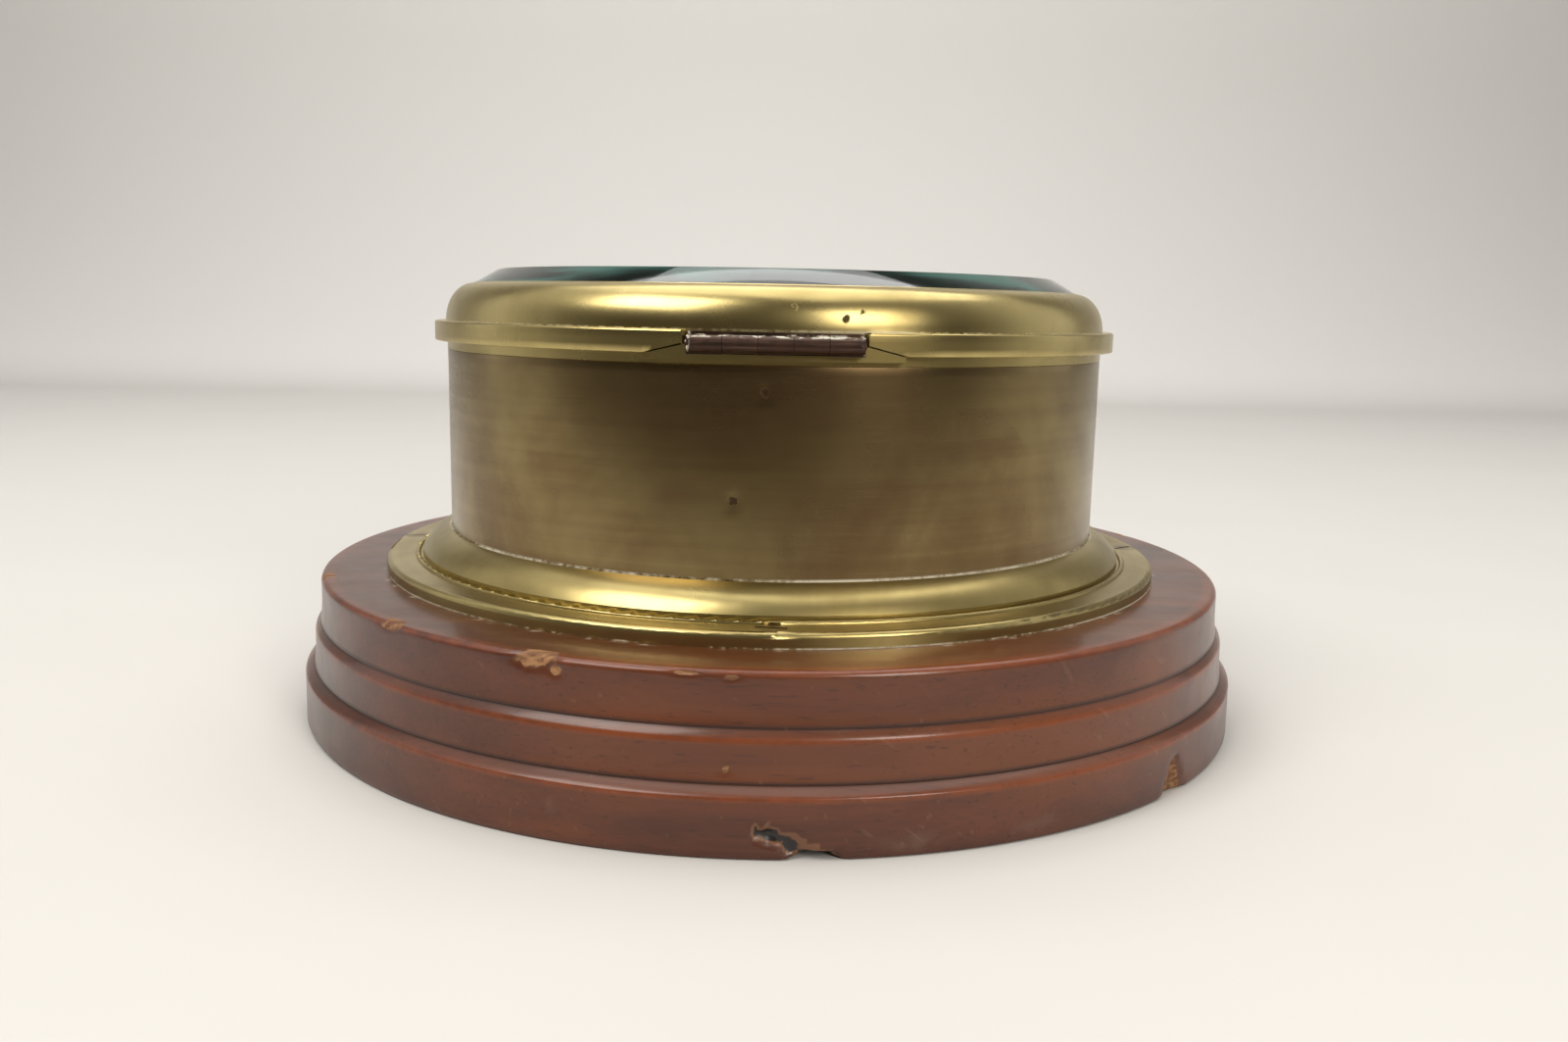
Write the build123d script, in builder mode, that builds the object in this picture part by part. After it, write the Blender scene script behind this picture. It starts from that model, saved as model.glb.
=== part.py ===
"""Binnacle compass: a gimballed bowl in a brass drum, under a hinged glass lid, on a turned wooden base.

Millimetres. The origin is the centre of the base's underside, +Z is up, the lid's hinge is on the -Y side.
"""
import os
from math import sqrt

from build123d import *

os.makedirs("parts", exist_ok=True)

# --------------------------------------------------------------------- screws
flange_screw_head = 3.5
flange_screw_shank = 1.9
flange_screw_length = 15.0
flange_screw_sink = 2.6
flange_screw_slot = 0.9
floor_screw_head = 3.0
floor_screw_shank = 1.6
floor_screw_length = 10.0
floor_screw_sink = 2.0
floor_screw_slot = 0.8
verge_screw_head = 1.4
verge_screw_shank = 0.8
verge_screw_length = 7.0
verge_screw_sink = 1.0
verge_screw_slot = 0.5
tab_screw_head = 1.6
tab_screw_shank = 0.8
tab_screw_head_height = 1.0
tab_screw_slot = 0.5

# ---------------------------------------------------------------- wooden base
foot_step = 2.9             # the foot stands out past the waist, and the waist past the deck
foot_height = 15.0
waist_step = 1.9
waist_height = 11.0
deck_margin = 16.7          # wood left around the flange
deck_height = 11.5
shoulder_height = 2.3       # sloping shoulder of the foot and of the waist
shoulder_bulge = 0.3
deck_flare = 0.5            # the deck's wall spreads by this much at its foot
deck_edge_round = 1.4
foot_edge_round = 1.0
pocket_floor_height = 14.0  # wood left under the drum

# ------------------------------------------------------------- drum and flange
drum_radius = 90.0
drum_wall = 2.0
drum_top = 96.0
floor_thickness = 2.0
flange_width = 17.0         # the flange reaches this far out from the drum
flange_rim_height = 3.6
flange_rim_round = 1.3
flange_bead_offset = 9.0    # bead, slope and screws, measured out from the drum
flange_bead_round = 0.7
flange_slope_width = 7.6
flange_height = 10.9
flange_slope_bulge = 0.9
flange_slope_lip = 0.6         # flat at the top of the slope, against the drum
flange_screw_offset = 12.5
floor_screw_margin = 28.0

# --------------------------------------------------------- rim, lid and glass
rim_height = 2.3
spigot_wall = 1.8
spigot_up = 2.5
spigot_down = 4.0
lid_play = 1.0              # radial play of the lid over the rim's spigot
band_overhang = 3.2         # the lid's band and dome stand out past the drum
band_height = 5.1
band_bead_round = 0.6
dome_overhang = 0.3
dome_width = 7.3
dome_height = 9.9
glass_lap = 1.0             # the lid's lip covers the glass by this much
glass_thickness = 8.0
glass_bevel_width = 7.5
glass_bevel_height = 4.37
gasket_width = 6.0
gasket_thickness = 0.8
retainer_wall = 8.0
retainer_thickness = 3.0
retainer_slot_width = 3.0
retainer_thread = 1.7          # the retaining ring is this much larger in radius than the glass's seat
lid_inner_slope = 3.3          # straight part of the lid's bore above its seat

# ---------------------------------------------------------------------- hinge
hinge_width = 38.0
knuckle_count = 5
knuckle_radius = 1.9
hinge_pin_radius = 0.8
hinge_offset = 4.5          # from the drum's wall out to the pin
knuckle_clearance = 0.3     # under the knuckles, above the lid's seat
leaf_thickness = 1.5
leaf_parting = 0.45         # half the slit between the two leaves
web_length = 10.0           # metal between a leaf and its knuckles
pin_overhang = 0.3
notch_spread = 9.0          # the lid's notch widens by this much down to its lower edge
notch_slope_height = 2.3
pad_overhang = 2.8
pad_depth = 1.3

# ------------------------------------------------------------------- lift tab
tab_width = 14.0
tab_reach = 3.0             # straight part of the tongue, before its rounded end
tab_thickness = 1.8
tab_plate_width = 22.0
tab_plate_height = 4.4
tab_screw_spacing = 17.6
tab_screw_grip = 2.5

# --------------------------------------------------------------------- gimbal
gimbal_drop = 24.0          # both gimbal axes below the top of the drum
ring_play = 9.0             # between the drum and the gimbal ring
ring_wall = 4.0
ring_height = 9.0
trunnion_radius = 2.0
trunnion_collar_radius = 3.2
trunnion_collar = 2.0
bracket_width = 10.0
bracket_length = 5.5
bracket_above = 4.5
bracket_below = 7.0
bowl_pivot_radius = 1.5
bowl_pivot_thread_radius = 2.5
bowl_pivot_head_radius = 3.5
bowl_pivot_head = 2.0

# ----------------------------------------------- bowl, heights from gimbal axis
bowl_flange_gap = 3.0       # between the gimbal ring and the bowl's flange
bowl_flange_width = 6.0
bowl_wall = 2.0
keel_clearance = 7.0        # under the keel weight, above the case floor
bowl_dish_depth = 16.0
bowl_flange_top = 4.0
bowl_flange_thickness = 3.0
bowl_boss_radius = 4.0
bowl_boss_reach = 1.8       # bosses stand out past the flange
keel_radius = 24.0
keel_boss_drop = 1.5
keel_thickness = 5.5
bowl_gasket_thickness = 0.8
bowl_glass_thickness = 3.0
bowl_glass_lap = 2.5        # the bowl's glass laps its flange
verge_lap = 1.0             # the verge ring covers the glass inside the bowl's wall
verge_lip = 1.7
verge_screw_count = 8
verge_screw_margin = 1.6
plug_rise = 5.0             # filler plug above the bowl's dish
plug_azimuth = 245.0
plug_radius = 3.0
plug_head_radius = 5.0
plug_boss_radius = 6.0
plug_boss_reach = 2.0
plug_washer_thickness = 0.8

# ----------------------------------------------- card, heights from gimbal axis
card_play = 8.0             # between the card and the bowl
card_thickness = 0.8
card_drop = 3.0             # underside of the card below the gimbal axis
float_radius = 20.0
float_depth = 11.0
float_wall = 0.8
float_mouth_radius = 7.0
magnet_side = 3.0
magnet_gap = 5.0            # from the float to the middle of the inner magnets
magnet_spacing = 12.0
magnet_margin = 10.0        # the magnets' corners stay this far inside the card's edge
cap_radius = 5.5
cap_height = 3.6
cap_spigot_radius = 4.4
jewel_radius = 1.6
jewel_height = 1.3
post_radius = 3.0
post_foot_radius = 8.0
post_foot_thickness = 2.0
stud_radius = 2.0
point_radius = 0.9
nut_across_flats = 7.0
nut_thickness = 2.5
lubber_gap = 2.0
lubber_thickness = 1.2
jewel_rise = 1.5
float_mouth_slope = 0.2
lubber_tip = 0.25
lubber_foot_width = 8.0
lubber_foot_height = 8.0
lubber_foot_wall = 1.0
lubber_height = 5.0

# ---------------------------------------------------------------------- fits
seat_gap = 0.05             # pieces of one body that are soldered, screwed or pressed together
screw_hole_spare = 0.2      # a screw's hole is this much deeper than the screw
running_gap = 0.06          # a pin turning in its bore
working_gap = 0.35          # faces of moving pieces that pass each other
glass_gap = 0.3             # around a glass edge, for its bedding

# -------------------------------------------------------------- derived sizes
base_height = foot_height + waist_height + deck_height
drum_bore = drum_radius - drum_wall
flange_radius = drum_radius + flange_width
flange_bead_radius = drum_radius + flange_bead_offset
flange_slope_foot_radius = drum_radius + flange_slope_width
flange_screw_circle = drum_radius + flange_screw_offset
floor_screw_circle = drum_bore - floor_screw_margin
deck_radius = flange_radius + deck_margin
waist_radius = deck_radius + waist_step
foot_radius = waist_radius + foot_step
band_radius = drum_radius + band_overhang
dome_foot_radius = drum_radius + dome_overhang
lip_radius = dome_foot_radius - dome_width
glass_radius = lip_radius + glass_lap
gimbal_height = drum_top - gimbal_drop
floor_top = pocket_floor_height + floor_thickness
lid_seat = drum_top + rim_height
spigot_radius = drum_bore
lid_bore = spigot_radius + lid_play
band_top = lid_seat + band_height
dome_top = band_top + dome_height
bevel_slope = glass_bevel_height / glass_bevel_width
glass_top = dome_top + glass_bevel_height - (glass_radius - lip_radius) * bevel_slope
glass_bottom = glass_top - glass_thickness
glass_bore = glass_radius + glass_gap
gasket_bottom = glass_bottom - gasket_thickness
retainer_bottom = gasket_bottom - retainer_thickness
retainer_radius = glass_bore + retainer_thread
hinge_y = -(drum_radius + hinge_offset)
hinge_z = lid_seat + knuckle_radius + knuckle_clearance
ring_outer_radius = drum_bore - ring_play
ring_inner_radius = ring_outer_radius - ring_wall
bowl_flange_radius = ring_inner_radius - bowl_flange_gap
bowl_inner_radius = bowl_flange_radius - bowl_flange_width
bowl_radius = bowl_inner_radius + bowl_wall
bowl_glass_radius = bowl_inner_radius + bowl_glass_lap
verge_inner_radius = bowl_inner_radius - verge_lap
verge_screw_circle = bowl_flange_radius - verge_screw_margin
bowl_boss_end = bowl_flange_radius + bowl_boss_reach
flange_top_z = gimbal_height + bowl_flange_top
bowl_glass_bottom = flange_top_z + bowl_gasket_thickness
bowl_glass_top = bowl_glass_bottom + bowl_glass_thickness
verge_top = bowl_glass_top + verge_lip
keel_bottom = floor_top + keel_clearance
keel_top = keel_bottom + keel_thickness
dish_floor = keel_top + keel_boss_drop + bowl_wall
dish_top = dish_floor + bowl_dish_depth
card_radius = bowl_inner_radius - card_play
inner_magnet_offset = float_radius + magnet_gap
outer_magnet_offset = inner_magnet_offset + magnet_spacing
card_bottom = gimbal_height - card_drop
card_top = card_bottom + card_thickness
jewel_bottom = card_top + jewel_rise
pivot_tip = jewel_bottom - 0.1
float_bottom = card_bottom - float_depth


def finish(piece, name):
    """Name a finished sub-part and write it."""
    piece.part.label = name
    export_step(piece.part, f"parts/{name}.step")


def slotted_screw(head_radius, shank_radius, length, head_height, slot_width, point):
    """A countersunk slotted screw with its head's face at z = 0, tapering over its last few millimetres."""
    with BuildPart() as screw:
        with BuildSketch(Plane.XZ):
            with BuildLine():
                Polyline(
                    (0, -length),
                    (shank_radius * 0.4, -length),
                    (shank_radius, -length + point),
                    (shank_radius, -head_height),
                    (head_radius, -head_height * 0.18),
                    (head_radius, 0),
                    (0, 0),
                    close=True,
                )
            make_face()
        revolve(axis=Axis.Z)
        with BuildSketch(Plane.XY):
            Rectangle(3 * head_radius, slot_width)
        extrude(amount=-0.45 * head_height, mode=Mode.SUBTRACT)
    return screw.part


def screw_seat(head_radius, shank_radius, head_height, depth):
    """The countersunk hole for a slotted screw, with its mouth at z = 0."""
    with BuildPart() as seat:
        with BuildSketch(Plane.XZ):
            with BuildLine():
                Polyline(
                    (0, -depth),
                    (shank_radius + seat_gap, -depth),
                    (shank_radius + seat_gap, -head_height),
                    (head_radius + seat_gap, -head_height * 0.18),
                    (head_radius + seat_gap, 0.5),
                    (0, 0.5),
                    close=True,
                )
            make_face()
        revolve(axis=Axis.Z)
    return seat.part


# ======================================================== screws and their places
flange_screw = slotted_screw(
    flange_screw_head,
    flange_screw_shank,
    flange_screw_length,
    flange_screw_sink,
    flange_screw_slot,
    point=4.0,
)
flange_screw_seat = screw_seat(
    flange_screw_head, flange_screw_shank, flange_screw_sink, flange_screw_length + screw_hole_spare
)
flange_screw_slots = (35.0, 100.0, 5.0, 80.0)      # slots stop wherever they pulled up tight
flange_screw_places = [
    Location((0, 0, base_height + flange_rim_height), (0, 0, 90 * i))
    * Location((flange_screw_circle, 0, 0), (0, 0, flange_screw_slots[i]))
    for i in range(4)
]
floor_screw = slotted_screw(
    floor_screw_head, floor_screw_shank, floor_screw_length, floor_screw_sink, floor_screw_slot, point=3.0
)
floor_screw_seat = screw_seat(
    floor_screw_head, floor_screw_shank, floor_screw_sink, floor_screw_length + screw_hole_spare
)
verge_screw = slotted_screw(
    verge_screw_head, verge_screw_shank, verge_screw_length, verge_screw_sink, verge_screw_slot, point=0.6
)
verge_screw_seat = screw_seat(
    verge_screw_head, verge_screw_shank, verge_screw_sink, verge_screw_length + screw_hole_spare
)

# ====================================================================== case
with BuildPart() as wood_base:
    with BuildSketch(Plane.XZ):
        with BuildLine():
            waist_z = foot_height
            deck_z = foot_height + waist_height
            deck_foot_radius = deck_radius + deck_flare
            deck_arc_centre = (deck_radius - deck_edge_round, base_height - deck_edge_round)
            Line((0, 0), (foot_radius - foot_edge_round, 0))
            CenterArc((foot_radius - foot_edge_round, foot_edge_round), foot_edge_round, -90, 90)
            Line((foot_radius, foot_edge_round), (foot_radius, waist_z - shoulder_height))
            SagittaArc((foot_radius, waist_z - shoulder_height), (waist_radius, waist_z), -shoulder_bulge)
            Line((waist_radius, waist_z), (waist_radius, deck_z - shoulder_height))
            SagittaArc((waist_radius, deck_z - shoulder_height), (deck_foot_radius, deck_z), -shoulder_bulge)
            Spline(
                (deck_foot_radius, deck_z),
                (deck_radius, base_height - 2 * deck_edge_round),
                tangents=((-0.3, 1), (0, 1)),
            )
            Line((deck_radius, base_height - 2 * deck_edge_round), (deck_radius, deck_arc_centre[1]))
            CenterArc(deck_arc_centre, deck_edge_round, 0, 90)
            Polyline(
                (deck_radius - deck_edge_round, base_height),
                (drum_radius + seat_gap, base_height),
                (drum_radius + seat_gap, pocket_floor_height),
                (0, pocket_floor_height),
                (0, 0),
            )
        make_face()
    revolve(axis=Axis.Z)
    with Locations(*flange_screw_places):
        add(flange_screw_seat, mode=Mode.SUBTRACT)
    with Locations(Location((0, 0, floor_top))):
        with PolarLocations(floor_screw_circle, 4, start_angle=45):
            add(floor_screw_seat, mode=Mode.SUBTRACT)
finish(wood_base, "wood_base")

with BuildPart() as flange_ring:
    with BuildSketch(Plane.XZ):
        with BuildLine():
            rim_top = base_height + flange_rim_height
            slope_foot_z = rim_top + 2.0 * flange_bead_round
            slope_top_z = base_height + flange_height
            inner_radius = drum_radius + seat_gap
            slope_top_radius = inner_radius + flange_slope_lip
            rim_arc_centre = (flange_radius - flange_rim_round, rim_top - flange_rim_round)
            Line((inner_radius, base_height), (flange_radius, base_height))
            Line((flange_radius, base_height), (flange_radius, rim_top - flange_rim_round))
            CenterArc(rim_arc_centre, flange_rim_round, 0, 90)
            Line((rim_arc_centre[0], rim_top), (flange_bead_radius + flange_bead_round, rim_top))
            CenterArc((flange_bead_radius, rim_top), flange_bead_round, 0, 180)
            Line((flange_bead_radius - flange_bead_round, rim_top), (flange_slope_foot_radius, rim_top))
            Line((flange_slope_foot_radius, rim_top), (flange_slope_foot_radius, slope_foot_z))
            SagittaArc(
                (flange_slope_foot_radius, slope_foot_z),
                (slope_top_radius, slope_top_z),
                -flange_slope_bulge,
            )
            Polyline(
                (slope_top_radius, slope_top_z),
                (inner_radius, slope_top_z),
                (inner_radius, base_height),
            )
        make_face()
    revolve(axis=Axis.Z)
    with Locations(*flange_screw_places):
        add(flange_screw_seat, mode=Mode.SUBTRACT)
finish(flange_ring, "flange_ring")

with BuildPart() as flange_screws:
    with Locations(*flange_screw_places):
        add(flange_screw)
finish(flange_screws, "flange_screws")

with BuildPart() as case_drum:
    with BuildSketch(Plane.XY.offset(pocket_floor_height)):
        Circle(drum_radius)
        Circle(drum_bore, mode=Mode.SUBTRACT)
    extrude(amount=drum_top - pocket_floor_height)
finish(case_drum, "case_drum")

with BuildPart() as case_floor:
    with BuildSketch(Plane.XY.offset(pocket_floor_height)):
        Circle(drum_bore - seat_gap)
    extrude(amount=floor_thickness)
    with Locations(Location((0, 0, floor_top))):
        with PolarLocations(floor_screw_circle, 4, start_angle=45):
            add(floor_screw_seat, mode=Mode.SUBTRACT)
finish(case_floor, "case_floor")

with BuildPart() as floor_screws:
    with Locations(Location((0, 0, floor_top))):
        with PolarLocations(floor_screw_circle, 4, start_angle=45):
            add(floor_screw)
finish(floor_screws, "floor_screws")

# ---- rim ring with the hinge pad ----
notch_half_width = hinge_width / 2 + 3 * working_gap
pad_radius = drum_radius + pad_overhang
leaf_clear_radius = dome_foot_radius + working_gap

with BuildPart() as case_rim_ring:
    with BuildSketch(Plane.XZ):
        with BuildLine():
            Polyline(
                (spigot_radius - spigot_wall, drum_top - spigot_down),
                (drum_bore - seat_gap, drum_top - spigot_down),
                (drum_bore - seat_gap, drum_top),
                (drum_radius, drum_top),
                (drum_radius, lid_seat),
                (spigot_radius, lid_seat),
                (spigot_radius, lid_seat + spigot_up),
                (spigot_radius - spigot_wall, lid_seat + spigot_up),
                close=True,
            )
        make_face()
    revolve(axis=Axis.Z)
    # the pad's outline as seen from the hinge side, filling the lid's notch
    pad_half_width = notch_half_width + notch_spread - 2 * working_gap
    with BuildSketch(Plane.XZ.offset(drum_radius - drum_wall - 12)):
        with BuildLine():
            Polyline(
                (-pad_half_width, lid_seat - pad_depth),
                (pad_half_width, lid_seat - pad_depth),
                (pad_half_width, lid_seat - 0.1),
                (notch_half_width, lid_seat + notch_slope_height - working_gap),
                (hinge_width / 2 + working_gap, lid_seat + notch_slope_height - working_gap),
                (hinge_width / 2 + working_gap, lid_seat),
                (-hinge_width / 2 - working_gap, lid_seat),
                (-hinge_width / 2 - working_gap, lid_seat + notch_slope_height - working_gap),
                (-notch_half_width, lid_seat + notch_slope_height - working_gap),
                (-pad_half_width, lid_seat - 0.1),
                close=True,
            )
        make_face()
    pad = extrude(amount=30, mode=Mode.PRIVATE)
    with BuildSketch(Plane.XZ):
        with BuildLine():
            Polyline(
                (drum_radius - drum_wall / 2, lid_seat - pad_depth),
                (pad_radius, lid_seat - pad_depth),
                (pad_radius, band_top),
                (leaf_clear_radius, band_top),
                (leaf_clear_radius, lid_seat),
                (drum_radius - drum_wall / 2, lid_seat),
                close=True,
            )
        make_face()
    pad_ring = revolve(axis=Axis.Z, mode=Mode.PRIVATE)
    add(pad & pad_ring)
finish(case_rim_ring, "case_rim_ring")


def hinge_leaf(first_knuckle, low, high, inner_radius, bore_radius):
    """A leaf curved to the drum between two heights, with every second knuckle of the barrel."""
    pitch = hinge_width / knuckle_count
    leaf_radius = abs(hinge_y) - knuckle_radius - working_gap
    with BuildPart() as leaf:
        with BuildSketch(Plane.XY.offset(low)):
            Circle(leaf_radius)
            Circle(inner_radius, mode=Mode.SUBTRACT)
            with Locations((0, -drum_radius)):
                Rectangle(hinge_width, 30, mode=Mode.INTERSECT)
        extrude(amount=high - low)
        web_low = low if high < hinge_z else hinge_z + leaf_parting
        web_high = high if high < hinge_z else hinge_z + knuckle_radius
        for index in range(first_knuckle, knuckle_count, 2):
            middle = -hinge_width / 2 + (index + 0.5) * pitch
            with BuildSketch(Plane.XY.offset(web_low)):
                with Locations((middle, hinge_y + web_length / 2)):
                    Rectangle(pitch - 2 * running_gap, web_length)
                Circle(inner_radius, mode=Mode.SUBTRACT)
            extrude(amount=web_high - web_low)
            with BuildSketch(Plane.YZ.offset(middle - pitch / 2 + running_gap)):
                with Locations((hinge_y, hinge_z)):
                    Circle(knuckle_radius)
            extrude(amount=pitch - 2 * running_gap)
        with BuildSketch(Plane.YZ.offset(-hinge_width)):
            with Locations((hinge_y, hinge_z)):
                Circle(bore_radius)
        extrude(amount=2 * hinge_width, mode=Mode.SUBTRACT)
    return leaf


hinge_case_leaf = hinge_leaf(
    0, lid_seat, hinge_z - leaf_parting, leaf_clear_radius, hinge_pin_radius + seat_gap
)
finish(hinge_case_leaf, "hinge_case_leaf")

hinge_bezel_leaf = hinge_leaf(
    1,
    hinge_z + leaf_parting,
    band_top - working_gap,
    dome_foot_radius + seat_gap,
    hinge_pin_radius + running_gap,
)
finish(hinge_bezel_leaf, "hinge_bezel_leaf")

with BuildPart() as hinge_pin:
    with BuildSketch(Plane.YZ.offset(-hinge_width / 2 - pin_overhang)):
        with Locations((hinge_y, hinge_z)):
            Circle(hinge_pin_radius)
    extrude(amount=hinge_width + 2 * pin_overhang)
    fillet(hinge_pin.edges().filter_by(GeomType.CIRCLE), hinge_pin_radius / 3)
finish(hinge_pin, "hinge_pin")

# ====================================================================== lid
with BuildPart() as bezel_ring:
    with BuildSketch(Plane.XZ):
        with BuildLine():
            bevel_at_lip = glass_top - (lip_radius - glass_radius + glass_bevel_width) * bevel_slope
            bevel_at_bore = glass_top - (glass_bore - glass_radius + glass_bevel_width) * bevel_slope
            bead_centre = (band_radius - band_bead_round, band_top - band_bead_round)
            edge = 0.3
            Line((lid_bore, lid_seat), (band_radius - edge, lid_seat))
            Line((band_radius - edge, lid_seat), (band_radius, lid_seat + edge))
            Line((band_radius, lid_seat + edge), (band_radius, band_top - band_bead_round))
            CenterArc(bead_centre, band_bead_round, 0, 90)
            Line((bead_centre[0], band_top), (dome_foot_radius, band_top))
            EllipticalCenterArc((lip_radius, band_top), dome_width, dome_height, 0, arc_size=90)
            Polyline(
                (lip_radius, dome_top),
                (lip_radius, bevel_at_lip + glass_gap / 2),
                (glass_bore, bevel_at_bore + glass_gap / 2),
                (glass_bore, gasket_bottom),
                (retainer_radius + seat_gap, gasket_bottom),
                (retainer_radius + seat_gap, retainer_bottom - 0.5),
                (lid_bore, lid_seat + lid_inner_slope),
                (lid_bore, lid_seat),
            )
        make_face()
    revolve(axis=Axis.Z)
    # the notch for the hinge and its pad, cut back to the dome's foot
    with BuildSketch(Plane.XZ.offset(drum_radius - 20)):
        with BuildLine():
            Polyline(
                (-notch_half_width, band_top + 1),
                (notch_half_width, band_top + 1),
                (notch_half_width, lid_seat + notch_slope_height),
                (notch_half_width + notch_spread, lid_seat),
                (notch_half_width + notch_spread, lid_seat - 1),
                (-notch_half_width - notch_spread, lid_seat - 1),
                (-notch_half_width - notch_spread, lid_seat),
                (-notch_half_width, lid_seat + notch_slope_height),
                close=True,
            )
        make_face()
    notch = extrude(amount=30, mode=Mode.PRIVATE)
    with BuildSketch(Plane.XY.offset(lid_seat - 1)):
        Circle(band_radius + 2)
        Circle(dome_foot_radius, mode=Mode.SUBTRACT)
    outside = extrude(amount=band_height + 1, mode=Mode.PRIVATE)
    add(notch & outside, mode=Mode.SUBTRACT)
    # tapped holes for the lift tab's screws
    for side in (-1, 1):
        with BuildSketch(Plane.XZ.offset(-band_radius - 1)):
            with Locations((side * tab_screw_spacing / 2, lid_seat + band_height / 2)):
                Circle(tab_screw_shank + seat_gap)
        extrude(amount=4.2, mode=Mode.SUBTRACT)
finish(bezel_ring, "bezel_ring")

with BuildPart() as bezel_glass:
    with BuildSketch(Plane.XZ):
        with BuildLine():
            Polyline(
                (0, glass_bottom),
                (glass_radius, glass_bottom),
                (glass_radius, glass_top - glass_bevel_height),
                (glass_radius - glass_bevel_width, glass_top),
                (0, glass_top),
                close=True,
            )
        make_face()
    revolve(axis=Axis.Z)
finish(bezel_glass, "bezel_glass")

with BuildPart() as glass_gasket:
    with BuildSketch(Plane.XY.offset(gasket_bottom)):
        Circle(glass_radius)
        Circle(glass_radius - gasket_width, mode=Mode.SUBTRACT)
    extrude(amount=gasket_thickness)
finish(glass_gasket, "glass_gasket")

with BuildPart() as glass_retaining_ring:
    with BuildSketch(Plane.XY.offset(retainer_bottom)):
        Circle(retainer_radius)
        Circle(retainer_radius - retainer_wall, mode=Mode.SUBTRACT)
    extrude(amount=retainer_thickness)
    with BuildSketch(Plane.XY.offset(retainer_bottom)):
        with PolarLocations(retainer_radius - retainer_wall, 4, start_angle=45):
            Rectangle(retainer_wall / 2, retainer_slot_width)
    extrude(amount=retainer_thickness / 2, mode=Mode.SUBTRACT)
finish(glass_retaining_ring, "glass_retaining_ring")

with BuildPart() as lift_tab:
    with BuildSketch(Plane.XY.offset(lid_seat + (band_height - tab_plate_height) / 2)):
        Circle(band_radius + seat_gap + leaf_thickness)
        Circle(band_radius + seat_gap, mode=Mode.SUBTRACT)
        with Locations((0, band_radius)):
            Rectangle(tab_plate_width, 20, mode=Mode.INTERSECT)
    extrude(amount=tab_plate_height)
    with BuildSketch(Plane.XY.offset(lid_seat + (band_height - tab_plate_height) / 2)):
        with Locations((0, band_radius)):
            SlotCenterToCenter(2 * tab_reach, tab_width, rotation=90)
        Circle(band_radius + seat_gap, mode=Mode.SUBTRACT)
        with Locations((0, band_radius + tab_width)):
            Rectangle(3 * tab_width, 2 * tab_width, mode=Mode.INTERSECT)
    extrude(amount=tab_thickness)
    for side in (-1, 1):
        with BuildSketch(Plane.XZ.offset(-band_radius + 2)):
            with Locations((side * tab_screw_spacing / 2, lid_seat + band_height / 2)):
                Circle(tab_screw_shank + seat_gap)
        extrude(amount=-8, mode=Mode.SUBTRACT)
finish(lift_tab, "lift_tab")

with BuildPart() as tab_screws:
    plate_radius = band_radius + seat_gap + leaf_thickness
    plate_face = sqrt(plate_radius**2 - (tab_screw_spacing / 2 - tab_screw_head) ** 2)
    for side in (-1, 1):
        with BuildSketch(Plane.XZ.offset(-plate_face)):
            with Locations((side * tab_screw_spacing / 2, lid_seat + band_height / 2)):
                Circle(tab_screw_head)
        extrude(amount=-tab_screw_head_height)
        with BuildSketch(Plane.XZ.offset(-plate_face)):
            with Locations((side * tab_screw_spacing / 2, lid_seat + band_height / 2)):
                Circle(tab_screw_shank)
        extrude(amount=plate_face - band_radius + tab_screw_grip)
        with BuildSketch(Plane.XZ.offset(-plate_face - tab_screw_head_height)):
            with Locations((side * tab_screw_spacing / 2, lid_seat + band_height / 2)):
                Rectangle(3 * tab_screw_head, tab_screw_slot, rotation=20 * side)
        extrude(amount=tab_screw_head_height / 2, mode=Mode.SUBTRACT)
finish(tab_screws, "tab_screws")

# =================================================================== gimbal
with BuildPart() as gimbal_brackets:
    with BuildSketch(Plane.XY.offset(gimbal_height - bracket_below)):
        Circle(drum_bore - seat_gap)
        Circle(drum_bore - bracket_length, mode=Mode.SUBTRACT)
        Rectangle(2 * drum_radius, bracket_width, mode=Mode.INTERSECT)
    extrude(amount=bracket_below + bracket_above)
    with BuildSketch(Plane.YZ.offset(-drum_radius)):
        with Locations((0, gimbal_height)):
            Circle(trunnion_radius + running_gap)
    extrude(amount=2 * drum_radius, mode=Mode.SUBTRACT)
finish(gimbal_brackets, "gimbal_brackets")

with BuildPart() as gimbal_ring:
    with BuildSketch(Plane.XY.offset(gimbal_height - ring_height / 2)):
        Circle(ring_outer_radius)
        Circle(ring_inner_radius, mode=Mode.SUBTRACT)
    extrude(amount=ring_height)
    ring_edges = gimbal_ring.edges().filter_by(GeomType.CIRCLE)
    chamfer(ring_edges, 0.4)
    with BuildSketch(Plane.YZ.offset(-drum_radius)):
        with Locations((0, gimbal_height)):
            Circle(trunnion_radius + seat_gap)
    extrude(amount=2 * drum_radius, mode=Mode.SUBTRACT)
    with BuildSketch(Plane.XZ.offset(-drum_radius)):
        with Locations((0, gimbal_height)):
            Circle(bowl_pivot_thread_radius + seat_gap)
    extrude(amount=2 * drum_radius, mode=Mode.SUBTRACT)
finish(gimbal_ring, "gimbal_ring")

with BuildPart() as ring_trunnions:
    trunnion_start = ring_inner_radius + 0.3
    trunnion_end = drum_bore - 1.2
    collar_start = ring_outer_radius + 0.1
    for side in (-1, 1):
        with BuildSketch(Plane.YZ.offset(side * trunnion_start)):
            with Locations((0, gimbal_height)):
                Circle(trunnion_radius)
        extrude(amount=side * (trunnion_end - trunnion_start))
        with BuildSketch(Plane.YZ.offset(side * collar_start)):
            with Locations((0, gimbal_height)):
                Circle(trunnion_collar_radius)
        extrude(amount=side * trunnion_collar)
finish(ring_trunnions, "ring_trunnions")

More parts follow.
